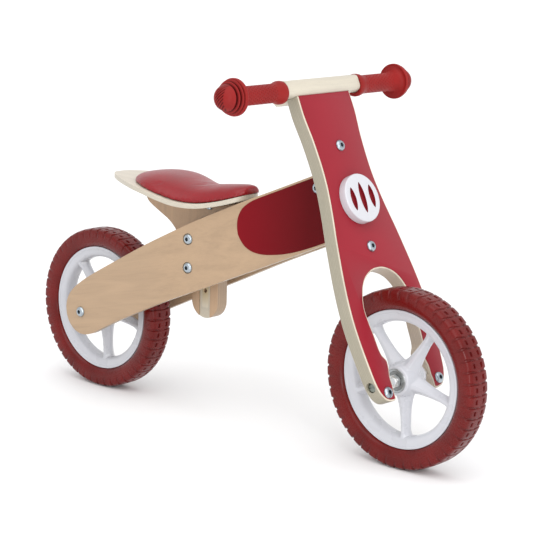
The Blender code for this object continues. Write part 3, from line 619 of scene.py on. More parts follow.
def bolt(node, at, axis, length, body, far="plain", shank=SHANK_R):
    """Bolt with its head's seat at a place, pointing along axis; far is plain, head or nut."""
    prof = HEAD_SIDE + [(shank, 0)]
    if far == "head":
        prof = prof + [(r, -length - t) for r, t in reversed(prof)]
    elif far == "nut":
        prof = prof + [(shank, -length)] + [(r, -length - t) for r, t in NUT_SIDE]
    else:
        prof = prof + [(shank, -length), (0, -length)]

    def rule(r, t, a):
        if far == "nut" and t < -length + 1e-6 and r > .006:
            return r * NUT_FLAT / math.cos(hex_turn(a))
        in_head = t > 0 or t < -length
        return r * SOCKET_FLAT / math.cos(hex_turn(a)) if in_head and r <= SOCKET_R * 1.13 else r
    ob = make(node + "_hex", *placed(lathe(prof, 48, radius=rule), at, axis))
    dress(ob, [ZINC, SOCKET], body, node, 28)
    line = Vector(axis)

    def in_socket(c, n):
        d = c - Vector(at)
        t = d.dot(line)
        sunk = 0 < t < HEAD_TOP - .0001 or far == "head" and 0 < -t - length < HEAD_TOP - .0001
        return (d - line * t).length < SOCKET_R + .0002 and sunk
    paint_faces(ob, in_socket)


def cross_bolt(node, at, y, shank=SHANK_R):
    """Bolt straight across the frame, with a head seated at y on each side."""
    bolt(node, Vector(at) - Vector((0, y, 0)), (0, -1, 0), 2 * y, "frame", "head", shank)


def beam_soft(u):
    """0 before a bend, then u, with a soft corner between."""
    return BEND_SOFT * math.log1p(math.exp(max(-50.0, min(50.0, u / BEND_SOFT))))


def beam_y(w):
    """Outer face of a beam: narrow at the head, wide beside the rear wheel."""
    slope = (BEAM_Y_REAR - BEAM_Y_FRONT) / (BEND_W[1] - BEND_W[0])
    return BEAM_Y_FRONT + slope * (beam_soft(w - BEND_W[0]) - beam_soft(w - BEND_W[1]))


def post_hole(z):
    """Middle of a hole in the post at height z; the row leans back a little."""
    return Vector((POST_X - .065 * (z - HOLE_Z[0]), 0, z))


def beam_y_at(place):
    return beam_y((TOP - place).dot(FWD))


def bolts():
    for node, s in zip(("fork_bolt_upper", "fork_bolt_lower"), FORK_BOLT_S):
        bolt(node, spot(s, -SKIN), FWD, FORK_BOLT_L, "fork", "nut")
    for side, sgn in SIDES:
        bolt("leg_bolt_" + side, spot(LEG_BOLT_S, -SKIN, sgn * LEG_BOLT_Y), FWD, LEG_BOLT_L, "fork")
    for node, s in zip(("head_bolt_upper", "head_bolt_lower"), HEAD_BOLT_S):
        cross_bolt(node, spot(s, HEAD_BOLT_W), BEAM_Y_FRONT + HEAD_BOLT_OUT)
    for node, z in zip(("post_bolt_lower", "post_bolt_upper"), BOLT_Z):
        cross_bolt(node, post_hole(z), beam_y_at(post_hole(z)) - POST_BOLT_IN)
    cross_bolt("rear_axle", REAR_AXLE, BEAM_Y_REAR + SKIN, REAR_SHANK_R)


# ---- lamp, bar and grips

LAMP_SLOTS = ((.0445, .0108, 0), (.0333, .0104, -.0195), (.0333, .0104, .0195))    # length, width, y
LAMP_EDGE_R = .0020
BAR_R, BAR_HALF, MIDDLE_HALF = .0099, .1805, .0775


def lens(length, width, cy):
    """Pointed oval, standing up the board."""
    pts, n = [], 24
    for k in range(2 * n):
        t = -1 + 2 * (k % n) / n if k < n else 1 - 2 * (k % n) / n
        side = 1 if k < n else -1
        pts.append((cy + side * width / 2 * (1 - t * t) ** .75, t * length / 2))
    return pts


def lamp():
    """Disc with a rounded rim and three blind slots."""
    edge = arc(LAMP_R - LAMP_EDGE_R, LAMP_T - LAMP_EDGE_R, LAMP_EDGE_R, 90, 0, 6)
    prof = [(0, LAMP_T), (.020, LAMP_T)] + edge + [(LAMP_R, .0003), (LAMP_R - .0003, 0), (0, 0)]
    at = spot(LAMP_S, -.0003)
    ob = make("lamp_disc_moulded", *placed(lathe(prof, 96), at, FWD))
    tools = []
    for length, width, y in LAMP_SLOTS:
        ring = lens(length, width, y)
        tools.append(loft([[forked(at, t, v, u) for u, v in ring]
                           for t in (LAMP_T - LAMP_RECESS, LAMP_T + .004)]))
    boolean(ob, merge(*tools))
    bevel(ob, .0004, 2, 50)
    dress(ob, [LAMP_WHITE, LAMP_RED], "fork", "lamp_disc", 40)

    def in_slot(c, n):
        t = (c - at).dot(FWD)
        return (c - at - FWD * t).length < .030 and LAMP_T - LAMP_RECESS - .0002 < t < LAMP_T - .0005
    paint_faces(ob, in_slot)


def handlebar():
    """Round ends turned down from a thicker middle with soft corners."""
    at = spot(GRIP_S, GRIP_W)
    body, shoulder = bar_section(0, 8), .0009
    end = []
    for k in range(36):
        a = math.radians(90 * (k // 9) + 90 * (k % 9) / 8)
        end.append((BAR_R * math.cos(a), BAR_R * math.sin(a)))
    half = [(MIDDLE_HALF - shoulder, body), (MIDDLE_HALF, end), (BAR_HALF, end)]
    rings = []
    for y, part in [(-y, part) for y, part in reversed(half)] + half:
        rings.append([forked(at, u, v, y) for u, v in part])
    ob = make("handlebar_turned", *loft(rings))
    bevel(ob, .0008, 3, 35)
    dress(ob, BAR_WOOD, "fork", "handlebar", 30)


BARREL_R, BARREL_FROM, BARREL_TO = .0132, .0960, .1570
DIMPLE_PITCH, DIMPLE_R, DIMPLE_DEEP = .0046, .0015, .00060
ROW_PITCH, FIRST_ROW, LAST_ROW = DIMPLE_PITCH * .87, .0985, .1548
FLARE = [(.0106, .0780), (.0112, .0776), (.0150, .0776), (.0157, .0780), (.0161, .0800),
         (.0161, .0835), (.0157, .0860), (.0146, .0895), (.0138, .0920), (.0134, .0945)]
FLANGE = [(.0134, .1578), (.0140, .1610), (.0150, .1645), (.0163, .1676), (.0182, .1696),
          (.0205, .1700), (.0228, .1694), (.0246, .1684), (.0252, .1688), (.0254, .1700),
          (.0254, .1720), (.0251, .1731), (.0244, .1737), (.0190, .1740), (.0180, .1744),
          (.0180, .1752), (.0186, .1755)]
FLANGE_R, FLANGE_BACK = .0254, .1737
THIN_RINGS = ((.0236, .1757), (.0210, .1803))    # radius and place of each
THIN_RING = [(-.0006, 0), (0, .0005), (0, .0015), (-.0006, .0020), (-.0040, .0023), (-.0056, .0027),
             (-.0056, .0042), (-.0050, .0045)]
DOME = [(.1850, .0178), (.1858, .0182), (.1890, .0171), (.1940, .0146), (.1980, .0102),
        (.1998, .0060), (.2010, .0014)]
DOME_FROM, DOME_R = .1862, .0182
RIB_PITCH, RIB_HALF, RIB_DEEP = .0044, .0078, .0013
GRIP_HOLE_R, GRIP_HOLE_END = .0106, .1825


def rib_groove(u, v):
    """1 in a groove between the ribs on the grip's end, 0 on a rib and beside them."""
    wave = abs((((v - u) / RIB_PITCH) % 1) - .5) * 2
    beside = smoothstep(RIB_HALF - .002, RIB_HALF, abs(u))
    return (1 - beside) * (1 - smoothstep(.25, .6, wave))


def dimpled(r, y, a):
    """Radius of the barrel with staggered rows of dimples round it."""
    if not BARREL_FROM < y < BARREL_TO or abs(r - BARREL_R) > 1e-6:
        return r
    around = round(2 * math.pi * BARREL_R / DIMPLE_PITCH)
    row = (y - FIRST_ROW) / ROW_PITCH
    k = round(row)
    if k < 0 or y >= LAST_ROW:
        return r
    turn = a / (2 * math.pi) * around + (k % 2) / 2
    d = math.hypot((row - k) * ROW_PITCH, (turn - round(turn)) * DIMPLE_PITCH)
    return r - DIMPLE_DEEP * (1 - smoothstep(DIMPLE_R * .45, DIMPLE_R, d))


def grip(side, sgn):
    """Flared inner end, dimpled barrel, dished flange, two thin rings and a ribbed dome."""
    prof = FLARE + [(BARREL_R, .0970 + .0006 * k) for k in range(99)] + FLANGE
    for r, y in THIN_RINGS:
        prof += [(r + dr, y + dy) for dr, dy in THIN_RING]
    prof += [(r, y) for y, r in spline(DOME, .0007)]
    prof += [(0, DOME[-1][0]), (0, GRIP_HOLE_END), (GRIP_HOLE_R, GRIP_HOLE_END)]
    verts, faces = lathe(prof, 136, radius=dimpled)
    out = []
    for t, u, v in verts:
        if t > DOME_FROM and math.hypot(u, v) < DOME_R:
            t -= RIB_DEEP * rib_groove(u, v) * (1 - smoothstep(.0115, .0125, abs(v)))
        out.append((t, u, v))
    at = spot(GRIP_S, GRIP_W)
    ob = make("grip_%s_dimpled" % side, *placed((out, faces), at, (0, sgn, 0)))

    def recess_shade(p):
        """Painted shade: darker in the grooves, between the ribs and a little in the dimples."""
        u, t, v = -sgn * (p.x - at.x), sgn * p.y, p.z - at.z
        r = math.hypot(u, v)
        if t > DOME_FROM:
            return .85 * rib_groove(u, v)
        if t > FLANGE_BACK:
            outer = FLANGE_R
            for ring_r, y in THIN_RINGS:
                outer = outer if t < y else ring_r
            return .9 * smoothstep(.0012, .0034, outer - r)
        if BARREL_FROM < t < BARREL_TO:
            return .22 * smoothstep(.0002, .0006, BARREL_R - r)
        return 0.0
    mark(ob, "recess_shade", recess_shade)
    dress(ob, GRIP_RUBBER, "fork", "grip_" + side, 50)


# ---- beams and panels

BEAM_TOP = [(.036, .1021), (.050, .1018), (.080, .1007), (.110, .0996), (.154, .0980), (.183, .0973),
            (.224, .0974), (.277, .0983), (.321, .1006), (.376, .1041), (.433, .1081),
            (.482, .1117), (.515, .1150), (.5285, .1172), (.5430, .1203), (.5570, .1252),
            (.5672, .1320), (.5750, .1415), (.5785, .1510), (.5798, .1575)]
BEAM_LOW = [(.036, .1978), (.110, .1966), (.170, .1957), (.240, .1949), (.285, .1946), (.320, .1940),
            (.380, .1934), (.425, .1938), (.460, .1943), (.500, .1958), (.520, .1972), (.5370, .1982),
            (.5500, .1966), (.5615, .1924), (.5705, .1852), (.5760, .1775), (.5785, .1710),
            (.5798, .1650)]
PANEL_TOP = [(.036, .1052), (.0494, .1048), (.080, .1036), (.110, .1026), (.140, .1014),
             (.158, .1010), (.170, .1016), (.178, .1032), (.186, .1058), (.193, .1108),
             (.1985, .1168), (.2025, .1245), (.2050, .1320), (.2061, .1385)]
PANEL_LOW = [(.036, .1956), (.0594, .1952), (.080, .1946), (.100, .1936), (.1174, .1921),
             (.135, .1896), (.1514, .1862), (.1724, .1800), (.186, .1734), (.193, .1682),
             (.1985, .1622), (.2025, .1552), (.2050, .1470), (.2061, .1395)]
PANEL_FROM, PANEL_TO = .0001, .0006              # the paint's faces against the beam's own
SPOT_DEEP, SPOT_GAP = .0014, .0006               # shallow round flats under the post bolts' heads


def strip(rows, top, low, inner, outer, sgn):
    """Bent strip between two edge curves, with its faces at inner(w) and outer(w) from the middle."""
    rings, across = [], 8
    for w in rows:
        a, b, yo, yi = top(w), low(w), outer(w), inner(w)
        near = [spot(a + (b - a) * k / across, w, sgn * yo) for k in range(across + 1)]
        far = [spot(a + (b - a) * k / across, w, sgn * yi) for k in reversed(range(across + 1))]
        rings.append(near + far)
    return loft(rings)


def beams():
    """Bent beams with shallow spot faces under the post bolts, and the painted panels on them."""
    top, low = table(BEAM_TOP), table(BEAM_LOW)
    rows = stations(BEAM_TOP[0][0], BEAM_TOP[-1][0], .006, (0, .052))
    panel_top, panel_low = table(PANEL_TOP), table(PANEL_LOW)
    panel_rows = stations(PANEL_TOP[0][0], PANEL_TOP[-1][0], .006, (0, .040))
    for side, sgn in SIDES:
        ob = make("beam_%s_bent" % side,
                  *strip(rows, top, low, lambda w: beam_y(w) - BEAM_T, beam_y, sgn))
        bevel(ob, .0013, 3, 45)
        spots = []
        for z in BOLT_Z:
            y = beam_y_at(post_hole(z)) - SPOT_DEEP
            spots.append(rod(HEAD_R + SPOT_GAP, y, y + .02, post_hole(z), (0, sgn, 0)))
        boolean(ob, merge(*spots))
        mark(ob, "ply", lambda p: (beam_y_at(p) - abs(p.y)) / BEAM_T)
        dress(ob, BEAM_WOOD, "frame", "beam_" + side, 40)
        ob = make("side_panel_%s_painted" % side,
                  *strip(panel_rows, panel_top, panel_low, lambda w: beam_y(w) + PANEL_FROM,
                         lambda w: beam_y(w) + PANEL_TO, sgn))
        bevel(ob, .0002, 2, 45)
        dress(ob, DARK_RED, "frame", "side_panel_" + side, 40)


# ---- seat

BASE_HALF = [(-.2665, .0085), (-.262, .0160), (-.255, .0230), (-.245, .0302), (-.230, .0395),
             (-.210, .0500), (-.190, .0585), (-.170, .0645), (-.150, .0667), (-.130, .0655),
             (-.110, .0615), (-.090, .0555), (-.070, .0485), (-.050, .0418), (-.030, .0362),
             (-.015, .0325), (-.007, .0280), (-.001, .0215), (.0030, .0140), (.0045, .0080)]
BASE_Z = [(-.268, .3366), (-.240, .3365), (-.2223, .3358), (-.200, .3347), (-.184, .3334),
          (-.1587, .3304), (-.1395, .3266), (-.121, .3222), (-.1013, .3178), (-.0824, .3159),
          (-.0673, .3161), (-.0523, .3180), (-.0361, .3215), (-.0231, .3248), (-.0076, .3297),
          (.0033, .3337), (.0110, .3368)]
CUSH_HALF = [(-.2115, .0085), (-.2090, .0165), (-.204, .0272), (-.197, .0376), (-.188, .0462),
             (-.176, .0545), (-.163, .0607), (-.148, .0642), (-.130, .0636), (-.110, .0597),
             (-.090, .0537), (-.070, .0467), (-.050, .0400), (-.030, .0346), (-.015, .0312),
             (-.004, .0272), (.003, .0220), (.0070, .0158), (.0085, .0100)]
CROWN = [(-.212, .3450), (-.2056, .3508), (-.195, .3542), (-.185, .3561), (-.170, .3576),
         (-.155, .3576), (-.140, .3560), (-.125, .3532), (-.1104, .3502), (-.0938, .3478),
         (-.0780, .3470), (-.0607, .3484), (-.040, .3518), (-.0193, .3547), (-.005, .3560),
         (.0085, .3552)]
base_z, base_half = table(BASE_Z), table(BASE_HALF)
cushion_half, crown_z = table(CUSH_HALF), table(CROWN)
SHRINK, SWELL = .0016, .0030     # the cushion before the simulation, and how far it may move
CUSHION_GAP = .0003
POST_FRONT = [(POST_X + POST_END_R, .2400), (POST_X + POST_END_R + .0008, .2500),
              (POST_X + POST_END_R + .0045, .2620), (-.0345, .2850), (-.0225, .3040), (-.0168, .3200)]
POST_BACK = [(-.2000, .3160), (-.1948, .3083), (-.1883, .3037), (-.1775, .2978), (-.1647, .2915),
             (-.1519, .2850), (-.1425, .2781), (-.1357, .2712), (-.1290, .2610), (-.1220, .2500),
             (-.1130, .2400), (-.1040, .2330), (POST_X - POST_END_R, .2260)]
POST_HEAD_X, POST_FOOT_Z = (-.018, -.199), .1462
GROOVE_Z = (.1000, .2960)


def seat_base():
    """Moulded board that follows its own curve from the bare tail to the nose."""
    rings, n = [], 10
    for x in stations(BASE_HALF[0][0], BASE_HALF[-1][0], .005, (.020, .014)):
        h, z = base_half(x), base_z(x)
        low = [(x, h * (2 * k / n - 1), z) for k in range(n + 1)]
        rings.append(low + [(a, b, c + BASE_T) for a, b, c in reversed(low)])
    ob = make("seat_base_bent", *loft(rings))
    bevel(ob, .0012, 3, 45)
    mark(ob, "ply", lambda p: min(1.0, max(0.0, (p.z - base_z(p.x)) / BASE_T)))
    dress(ob, SEAT_WOOD, "frame", "seat_base", 40)


def cushion_form(shrink):
    """Closed cushion: domed sections on the base's own curve, a little smaller by shrink."""
    rings, n = [], 28
    a, b = CUSH_HALF[0][0], CUSH_HALF[-1][0]
    for x in stations(a + shrink, b - shrink, .005, (.018, .014)):
        h = max(.004, cushion_half(x) - shrink)
        z = base_z(x) + BASE_T + .0004
        hi = crown_z(x) - shrink - z
        row = []
        for k in range(n + 1):
            t = -math.cos(math.pi * k / n)
            row.append((x, h * t, z + hi * max(.10, (1 - abs(t) ** 2.5) ** .5)))
        rings.append(row + [(x, h * t, z) for t in (.96, .5, 0, -.5, -.96)])
    return loft(rings)


def seat_cushion():
    """Padded cover, swollen by cloth from its pinned hem, with puckers where it is pulled tight."""
    ob = make("seat_cushion_padded", *cushion_form(SHRINK))
    modified(ob, "REMESH", mode="VOXEL", voxel_size=.0030)
    start = [v.co.copy() for v in ob.data.vertices]
    pins = ob.vertex_groups.new(name="hem")
    for v in ob.data.vertices:
        height = v.co.z - base_z(v.co.x) - BASE_T
        pins.add([v.index], 1 - smoothstep(.001, .0045, height), "REPLACE")
    cloth = ob.modifiers.new("stuffing", "CLOTH")
    cloth.settings.use_pressure = True
    cloth.settings.uniform_pressure_force = 4
    cloth.settings.vertex_group_mass = "hem"
    cloth.settings.effector_weights.gravity = 0
    for k in range(1, 21):
        bpy.context.scene.frame_set(k)
    shape = ob.evaluated_get(bpy.context.evaluated_depsgraph_get()).to_mesh()
    moved = [v.co.copy() for v in shape.vertices]
    ob.modifiers.clear()
    ob.vertex_groups.clear()
    bpy.context.scene.frame_set(1)
    for v, a, b in zip(ob.data.vertices, start, moved):
        d = b - a
        v.co = a + (d if d.length < SWELL else d * (SWELL / d.length))
    modified(ob, "SUBSURF", levels=2, render_levels=2)
    for v in ob.data.vertices:
        x, y, z = v.co
        floor = base_z(x) + BASE_T + CUSHION_GAP
        height = z - floor
        rim = (1 - smoothstep(.0015, .0090, height)) * smoothstep(.0, .0008, height)
        nose = smoothstep(-.075, -.035, x) * (1 - smoothstep(-.006, .004, x))
        tail = 1 - smoothstep(-.205, -.185, x)
        pucker = math.sin(x * 1150 + 2.2 * math.sin(x * 310)) * nose + .8 * math.sin(y * 900) * tail
        v.co.y += .00042 * rim * pucker * (1 if y > 0 else -1)
        uneven = .00018 * noise.noise(Vector((x, y, z)) * 38) * smoothstep(.002, .012, height)
        v.co.z = max(z + uneven, floor)
    dress(ob, LEATHER, "frame", "seat_cushion", 60)


def seat_post():
    """Board on edge between the beams: flared top under the seat, grooved faces and a row of holes."""
    gap, across = .0003, 36
    head = []
    for k in range(across + 1):
        x = POST_HEAD_X[0] + (POST_HEAD_X[1] - POST_HEAD_X[0]) * k / across
        head.append((x, base_z(x) - gap))
    foot = arc(POST_X, POST_FOOT_Z + POST_END_R, POST_END_R, 180, 360, 32)
    outline = spline(POST_FRONT, .003) + head + spline(POST_BACK, .003) + foot
    ob = make("seat_post_shaped",
              *rounded_slab(outline, lambda x, z, t: (x, t - POST_T, z), 2 * POST_T, .0013))
    g0, g1 = POST_X - GROOVE_HALF, POST_X + GROOVE_HALF
    low, high = GROOVE_Z
    for a, b in ((-.02, -POST_T + GROOVE_DEEP), (POST_T - GROOVE_DEEP, .02)):
        corners = ((g0, low), (g1, low), (g1, high), (g0, high))
        boolean(ob, loft([[(x, y, z) for x, z in corners] for y in (a, b)]))
    for z in HOLE_Z:
        boolean(ob, rod(SHANK_R + gap, -.1, .1, post_hole(z), (0, 1, 0), 32))

    def ply(p):
        in_groove = abs(p.x - POST_X) < GROOVE_HALF + 1e-4 and p.z > .15
        return 0.0 if in_groove else (p.y + POST_T) / (2 * POST_T)
    mark(ob, "ply", ply)
    dress(ob, [POST_WOOD, POST_CORE], "frame", "seat_post", 35)

    def on_groove(c, n):
        deep = abs(n.y) > .9 and abs(c.y) < POST_T - .0010
        return deep and abs(c.x - POST_X) < GROOVE_HALF and c.z < .30
    paint_faces(ob, on_groove)


# ---- wheels

PITCHES = 48
TREAD_DEEP = .0016
COLUMNS = [0, .045, .075, .100, .130, .160, .185, .24, .29, .335, .370, .43, .5, .57, .630, .665, .71,
           .76, .815, .840, .870, .900, .925, .955]
CROWN_Y = [0, .0020, .0040, .0053, .0060, .0066, .0072, .0077, .0082, .0088, .0094, .0102, .0112, .0124,
           .0136, .0148, .0158, .0168, .0177, .0185, .0191, .0196, .0200]
SIDE_R, SIDE_Y, FAT = .1140, .0206, 4.2      # where the sidewall begins, and how square the crown is
SIDEWALL = [(.1180, .02052), (SIDE_R, SIDE_Y), (.1100, .0204), (.1062, .0199), (.1025, .0187),
            (.0995, .0166), (.0975, .0140)]
TYRE_SEAT = [(.0969, .0119), (.0925, .0119)]
BEAD_R, BEAD_H, BEAD_W = .1062, .0004, .0012
# how dark the painted shade is in the deepest tread grooves
TREAD_GROOVE_SHADE = .16


def plateau(x, half, soft):
    return 1 - smoothstep(half, half + soft, abs(x))


def tread(frac, y, r):
    """Depth of the pattern: cross grooves that widen to the shoulders, and rows of pits in a line."""
    flare = .030 + .050 * smoothstep(.010, .019, y)
    cross = plateau(min(frac, 1 - frac), flare, .07) * (1 + .15 * smoothstep(.012, .019, y))
    cross *= 1 - .55 * plateau(y, .0030, .0016)
    pit = 1.15 * plateau(frac - .5, .17, .045) * plateau(y - .0077, .0018, .0007)
    return TREAD_DEEP * max(cross, pit) * smoothstep(.1075, .1190, r)


def tyre(tag, body, at):
    """Foam tyre: square-shouldered crown with the pattern pressed in, and a bead on each side."""
    high = WHEEL_R - SIDE_R
    crown = [(SIDE_R + high * (1 - (y / SIDE_Y) ** FAT) ** (1 / FAT), y) for y in CROWN_Y]
    half = crown + spline(SIDEWALL, .0014) + TYRE_SEAT
    full = [(r, -y) for r, y in reversed(half)] + half[1:]
    rings, groove_shade_marks = [], []
    for p in range(PITCHES):
        for f in COLUMNS:
            ring = []
            for r, y in full:
                lean = .10 * smoothstep(.003, .018, abs(y))
                a = 2 * math.pi * (p + f + lean) / PITCHES
                deep = tread(f, abs(y), r)
                q = r - deep + BEAD_H * math.exp(-((r - BEAD_R) / BEAD_W) ** 2)
                inward = .35 * deep * smoothstep(.012, .020, abs(y))
                # painted shade: the deeper the tread groove, the darker
                groove_shade_marks.append(TREAD_GROOVE_SHADE * min(1.0, deep / TREAD_DEEP))
                ring.append((q * math.cos(a), y - math.copysign(inward, y), q * math.sin(a)))
            rings.append(ring)
    ob = make(tag + "_tyre_treaded", *loft(rings, closed=True))
    ob.data.attributes.new("recess_shade", "FLOAT", "POINT").data.foreach_set("value", groove_shade_marks)
    ob.location = at
    dress(ob, TYRE_FOAM, body, tag + "_tyre", 42)


RIM_SIDE = [(.0921, .0122), (.0960, .0122), (.0964, .0126), (.0964, .0138), (.0960, .0142), (.0936, .0143),
            (.0927, .0141), (.0921, .0135), (.0916, .0133), (.0884, .0130), (.0862, .0127), (.0845, .0122),
            (.0828, .0113), (.0812, .0095), (.0801, .0070), (.0794, .0036), (.0791, 0)]
CORE_SIDE = [(.0895, .0117), (.0850, .0115), (.0836, .0110), (.0822, .0098), (.0809, .0068), (.0802, .0036),
             (.0799, 0)]
HUB_SIDE = [(0, .0218), (.0184, .0218), (.0194, .0213), (.0205, .0201), (.0222, .0160), (.0240, .0100),
            (.0246, .0050), (.0246, 0)]
SPOKE = [(.0150, .0150, .0175), (.0220, .0132, .0155), (.0300, .0108, .0128), (.0400, .0089, .0108),
         (.0520, .0074, .0096), (.0650, .0064, .0092), (.0725, .0064, .0096), (.0770, .0074, .0102),
         (.0805, .0094, .0108), (.0835, .0116, .0112)]
SPOKES, SPOKE0 = 5, math.radians(-86)
SPOKE_SECTION = ((-1, -.2), (-.28, -1), (.28, -1), (1, -.2), (1, .2), (.28, 1), (-.28, 1), (-1, .2))
POCKET_R, POCKET_Y, HUB_BORE_R = .0169, .0145, .0060
BEARING_SIDE = [(.0041, .0148), (.0166, .0148), (.0166, .0215), (.0162, .0220), (.0138, .0220),
                (.0134, .0212), (.0131, .0210), (.0078, .0210), (.0075, .0214), (.0072, .0220),
                (.0045, .0220), (.0041, .0216)]
SEAL_Y = .0210


def mirrored(side):
    """Full profile from its left half, which ends in the middle of the wheel."""
    return side + [(r, -y) for r, y in reversed(side[:-1])]


def about_y(shape):
    """Turn a shape made about X so that it runs about Y."""
    return [(v[1], v[0], v[2]) for v in shape[0]], shape[1]


def spoke(angle):
    """Tapered arm with a flat ridge, sloping flanks and spread feet."""
    c, s = math.cos(angle), math.sin(angle)
    return loft([[(r * c - u * hw * s, y * hy, r * s + u * hw * c) for u, y in SPOKE_SECTION]
                 for r, hw, hy in SPOKE])


def wheel_web():
    """Hub and spokes moulded in one, with a core inside the rim that makes the soft corners there."""
    ob = make("web", *about_y(lathe(mirrored(CORE_SIDE), 120, ring=True)))
    boolean(ob, merge(*[spoke(SPOKE0 + 2 * math.pi * k / SPOKES) for k in range(SPOKES)]), "UNION")
    boolean(ob, about_y(lathe(mirrored(HUB_SIDE), 72)), "UNION")
    modified(ob, "REMESH", mode="VOXEL", voxel_size=.0010)
    modified(ob, "SMOOTH", factor=.5, iterations=3)
    bore = [(0, -.03), (POCKET_R, -.03), (POCKET_R, -POCKET_Y), (HUB_BORE_R, -POCKET_Y),
            (HUB_BORE_R, POCKET_Y), (POCKET_R, POCKET_Y), (POCKET_R, .03), (0, .03)]
    boolean(ob, about_y(lathe(bore, 72)))
    return ob


def wheels():
    """Each wheel is a tyre, a rim of web and band, and two bearings with their seals sunk in."""
    web = wheel_web()
    band = make("band", *about_y(lathe(mirrored(RIM_SIDE), 144, ring=True)))
    for tag, body, at in (("front", "front_wheel", FRONT_AXLE), ("rear", "rear_wheel", REAR_AXLE)):
        tyre(tag, body, at)
        for part, source, angle in (("web", web, 50), ("band", band, 30)):
            ob = link("%s_rim_%s" % (tag, part), source.data.copy())
            ob.location = at
            dress(ob, WHITE, body, tag + "_rim", angle)
        for ob, name, _ in turned_pair(tag + "_bearing", "_sealed", BEARING_SIDE, at, 72):
            dress(ob, [BEARING, SEAL], body, name, 30)
            paint_faces(ob, lambda c, n: abs(abs(c.y) - SEAL_Y) < .0003)
    for ob in (web, band):
        bpy.data.objects.remove(ob, do_unlink=True)


HUB_NUT_FLAT, NUT_HOLE = .0083, .0043
HUB_NUT_SIDE = [(NUT_HOLE, .0224), (.0088, .0224), (.0095, .0229), (.0095, .0279), (.0088, .0285),
                (.0064, .0287), (.0062, .0292)]
CAP_SIDE = [(0, .0664), (.0062, .0664), (.0068, .0670), (.0068, .0716), (.0066, .0722),
            (.0060, .0728), (.0046, .0732), (0, .0734)]
CAP_SLOT = [(-.0046, -.0009), (.0046, -.0009), (.0046, .0009), (-.0046, .0009)]
CAP_SLOT_Y = .0718


def hub_nut(tag, body, at, reach):
    """Hex nut against the bearing with a plain sleeve behind it."""
    prof = HUB_NUT_SIDE + [(.0062, reach), (NUT_HOLE, reach)]

    def rule(r, t, a):
        return min(r, HUB_NUT_FLAT / math.cos(hex_turn(a))) if r > .0070 else r
    for ob, name, _ in turned_pair(tag + "_spacer", "_hex", prof, at, 72, rule):
        dress(ob, NUT_ZINC, body, name, 28)


def axle_caps():
    """Domed end caps in the board's edges, each with a slot for a screwdriver."""
    middle = spot(AXLE_S, BOARD_T / 2)
    for ob, name, sgn in turned_pair("axle_cap", "_slotted", CAP_SIDE, middle, 64, ring=False):
        boolean(ob, loft([[forked(middle, u, v, sgn * y) for u, v in CAP_SLOT]
                          for y in (CAP_SLOT_Y, .0800)]))
        dress(ob, BLACK_STEEL, "fork", name, 30)


# ---- CAD nodes that stay

def kept(mat, bevel_width, *names):
    """Soften a CAD node's edges with modifiers and give it a finished material."""
    for name in names:
        ob = NODES[name]
        weld = ob.modifiers.new("weld", "WELD")
        weld.merge_threshold = .00001
        if bevel_width:
            edge = ob.modifiers.new("edge", "BEVEL")
            edge.width, edge.segments, edge.limit_method = bevel_width, 2, "ANGLE"
            edge.angle_limit = math.radians(50)
        ob.data.materials.clear()
        ob.data.materials.append(mat)


def stay():
    """The small hard parts whose CAD shape is right."""
    kept(HEAD_WOOD, .0008, "head_block")
    kept(BAR_WOOD, .0008, "handlebar_block", "post_spacer_right", "post_spacer_left")
    kept(ZINC, .0004, "steering_bracket_upper", "steering_bracket_lower")
    kept(ZINC, 0, "steering_pin", "front_axle", "bar_screw_right", "bar_screw_left",
         "seat_screw_front_right", "seat_screw_front_left", "seat_screw_rear_right", "seat_screw_rear_left")
    kept(NYLON, .0002, "thrust_washer_upper", "thrust_washer_lower")


# ---- studio

CAMERA_AT = Vector((1.7511, -1.9407, 0.7749))
CAMERA_TO = Vector((0.0379, 0.0, 0.2403))
CAMERA_ROLL = math.radians(1.3747)
CAMERA_LENS = 123.93


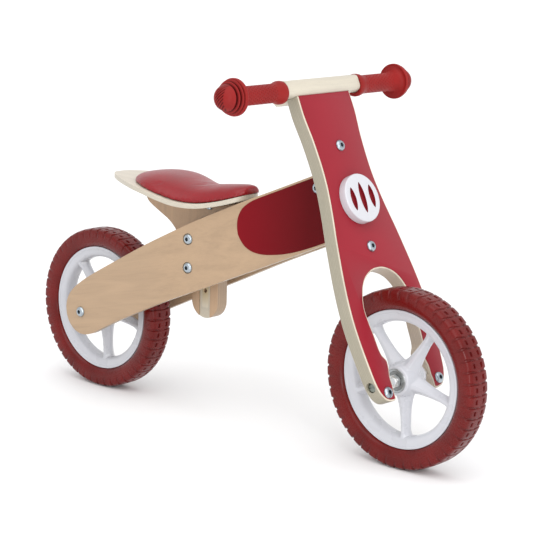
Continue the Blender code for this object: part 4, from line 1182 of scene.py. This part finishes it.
def camera():
    """Long lens from the front right, rolled a little."""
    data = bpy.data.cameras.new("camera")
    data.lens, data.sensor_width = CAMERA_LENS, 36
    data.clip_start, data.clip_end = 0.05, 100
    ob = link("camera", data)
    back = (CAMERA_AT - CAMERA_TO).normalized()
    right = Vector((0, 0, 1)).cross(back).normalized()
    up = back.cross(right)
    c, s = math.cos(CAMERA_ROLL), math.sin(CAMERA_ROLL)
    turned = Matrix((right * c + up * s, up * c - right * s, back)).transposed()
    ob.matrix_world = Matrix.Translation(CAMERA_AT) @ turned.to_4x4()
    bpy.context.scene.camera = ob


SKY_FROM, SKY_ENERGY, SKY_ANGLE = (0.35, -0.45, 1.0), 1.3, math.radians(75)
WORLD_COLOUR, WORLD_STRENGTH = (0.985, 0.99, 1.0, 1), 0.95
FLOOR_HALF, FLOOR_Z = 30, -0.0002


def area(name, at, to, size, energy):
    data = bpy.data.lights.new(name, "AREA")
    data.size, data.energy = size, energy
    ob = link(name, data)
    ob.location = at
    ob.rotation_euler = (Vector(to) - Vector(at)).to_track_quat("-Z", "Y").to_euler()


def studio():
    """Pale floor, even world light, a wide soft sun from above and two area lights in front."""
    corners = [(x * FLOOR_HALF, y * FLOOR_HALF, FLOOR_Z) for x, y in ((-1, -1), (1, -1), (1, 1), (-1, 1))]
    floor = make("studio_floor", corners, [(0, 1, 2, 3)])
    n = Nodes("studio_paper")
    n.set(Base_Color=n.vary(n.grain(3, 2), (1, 1, 1), 0.90, 0.92), Roughness=0.8)
    floor.data.materials.append(n.mat)
    world = bpy.data.worlds.new("studio")
    world.use_nodes = True
    background = world.node_tree.nodes["Background"]
    background.inputs["Color"].default_value = WORLD_COLOUR
    background.inputs["Strength"].default_value = WORLD_STRENGTH
    bpy.context.scene.world = world
    data = bpy.data.lights.new("soft_sky", "SUN")
    data.energy, data.angle = SKY_ENERGY, SKY_ANGLE
    link("soft_sky", data).rotation_euler = Vector(SKY_FROM).to_track_quat("Z", "Y").to_euler()
    area("front_softbox", (2.6, -1.4, 1.3), (0, 0, .25), .65, 14)
    area("low_fill", (1.1, -.9, .06), (.22, 0, .26), .5, 2.6)
    bpy.context.scene.view_settings.view_transform = "Standard"


fork_board()
bolts()
lamp()
handlebar()
for side, sgn in SIDES:
    grip(side, sgn)
beams()
seat_base()
seat_post()
seat_cushion()
wheels()
hub_nut("front", "fork", FRONT_AXLE, .0417)
hub_nut("rear", "frame", REAR_AXLE, .0426)
axle_caps()
stay()
camera()
studio()
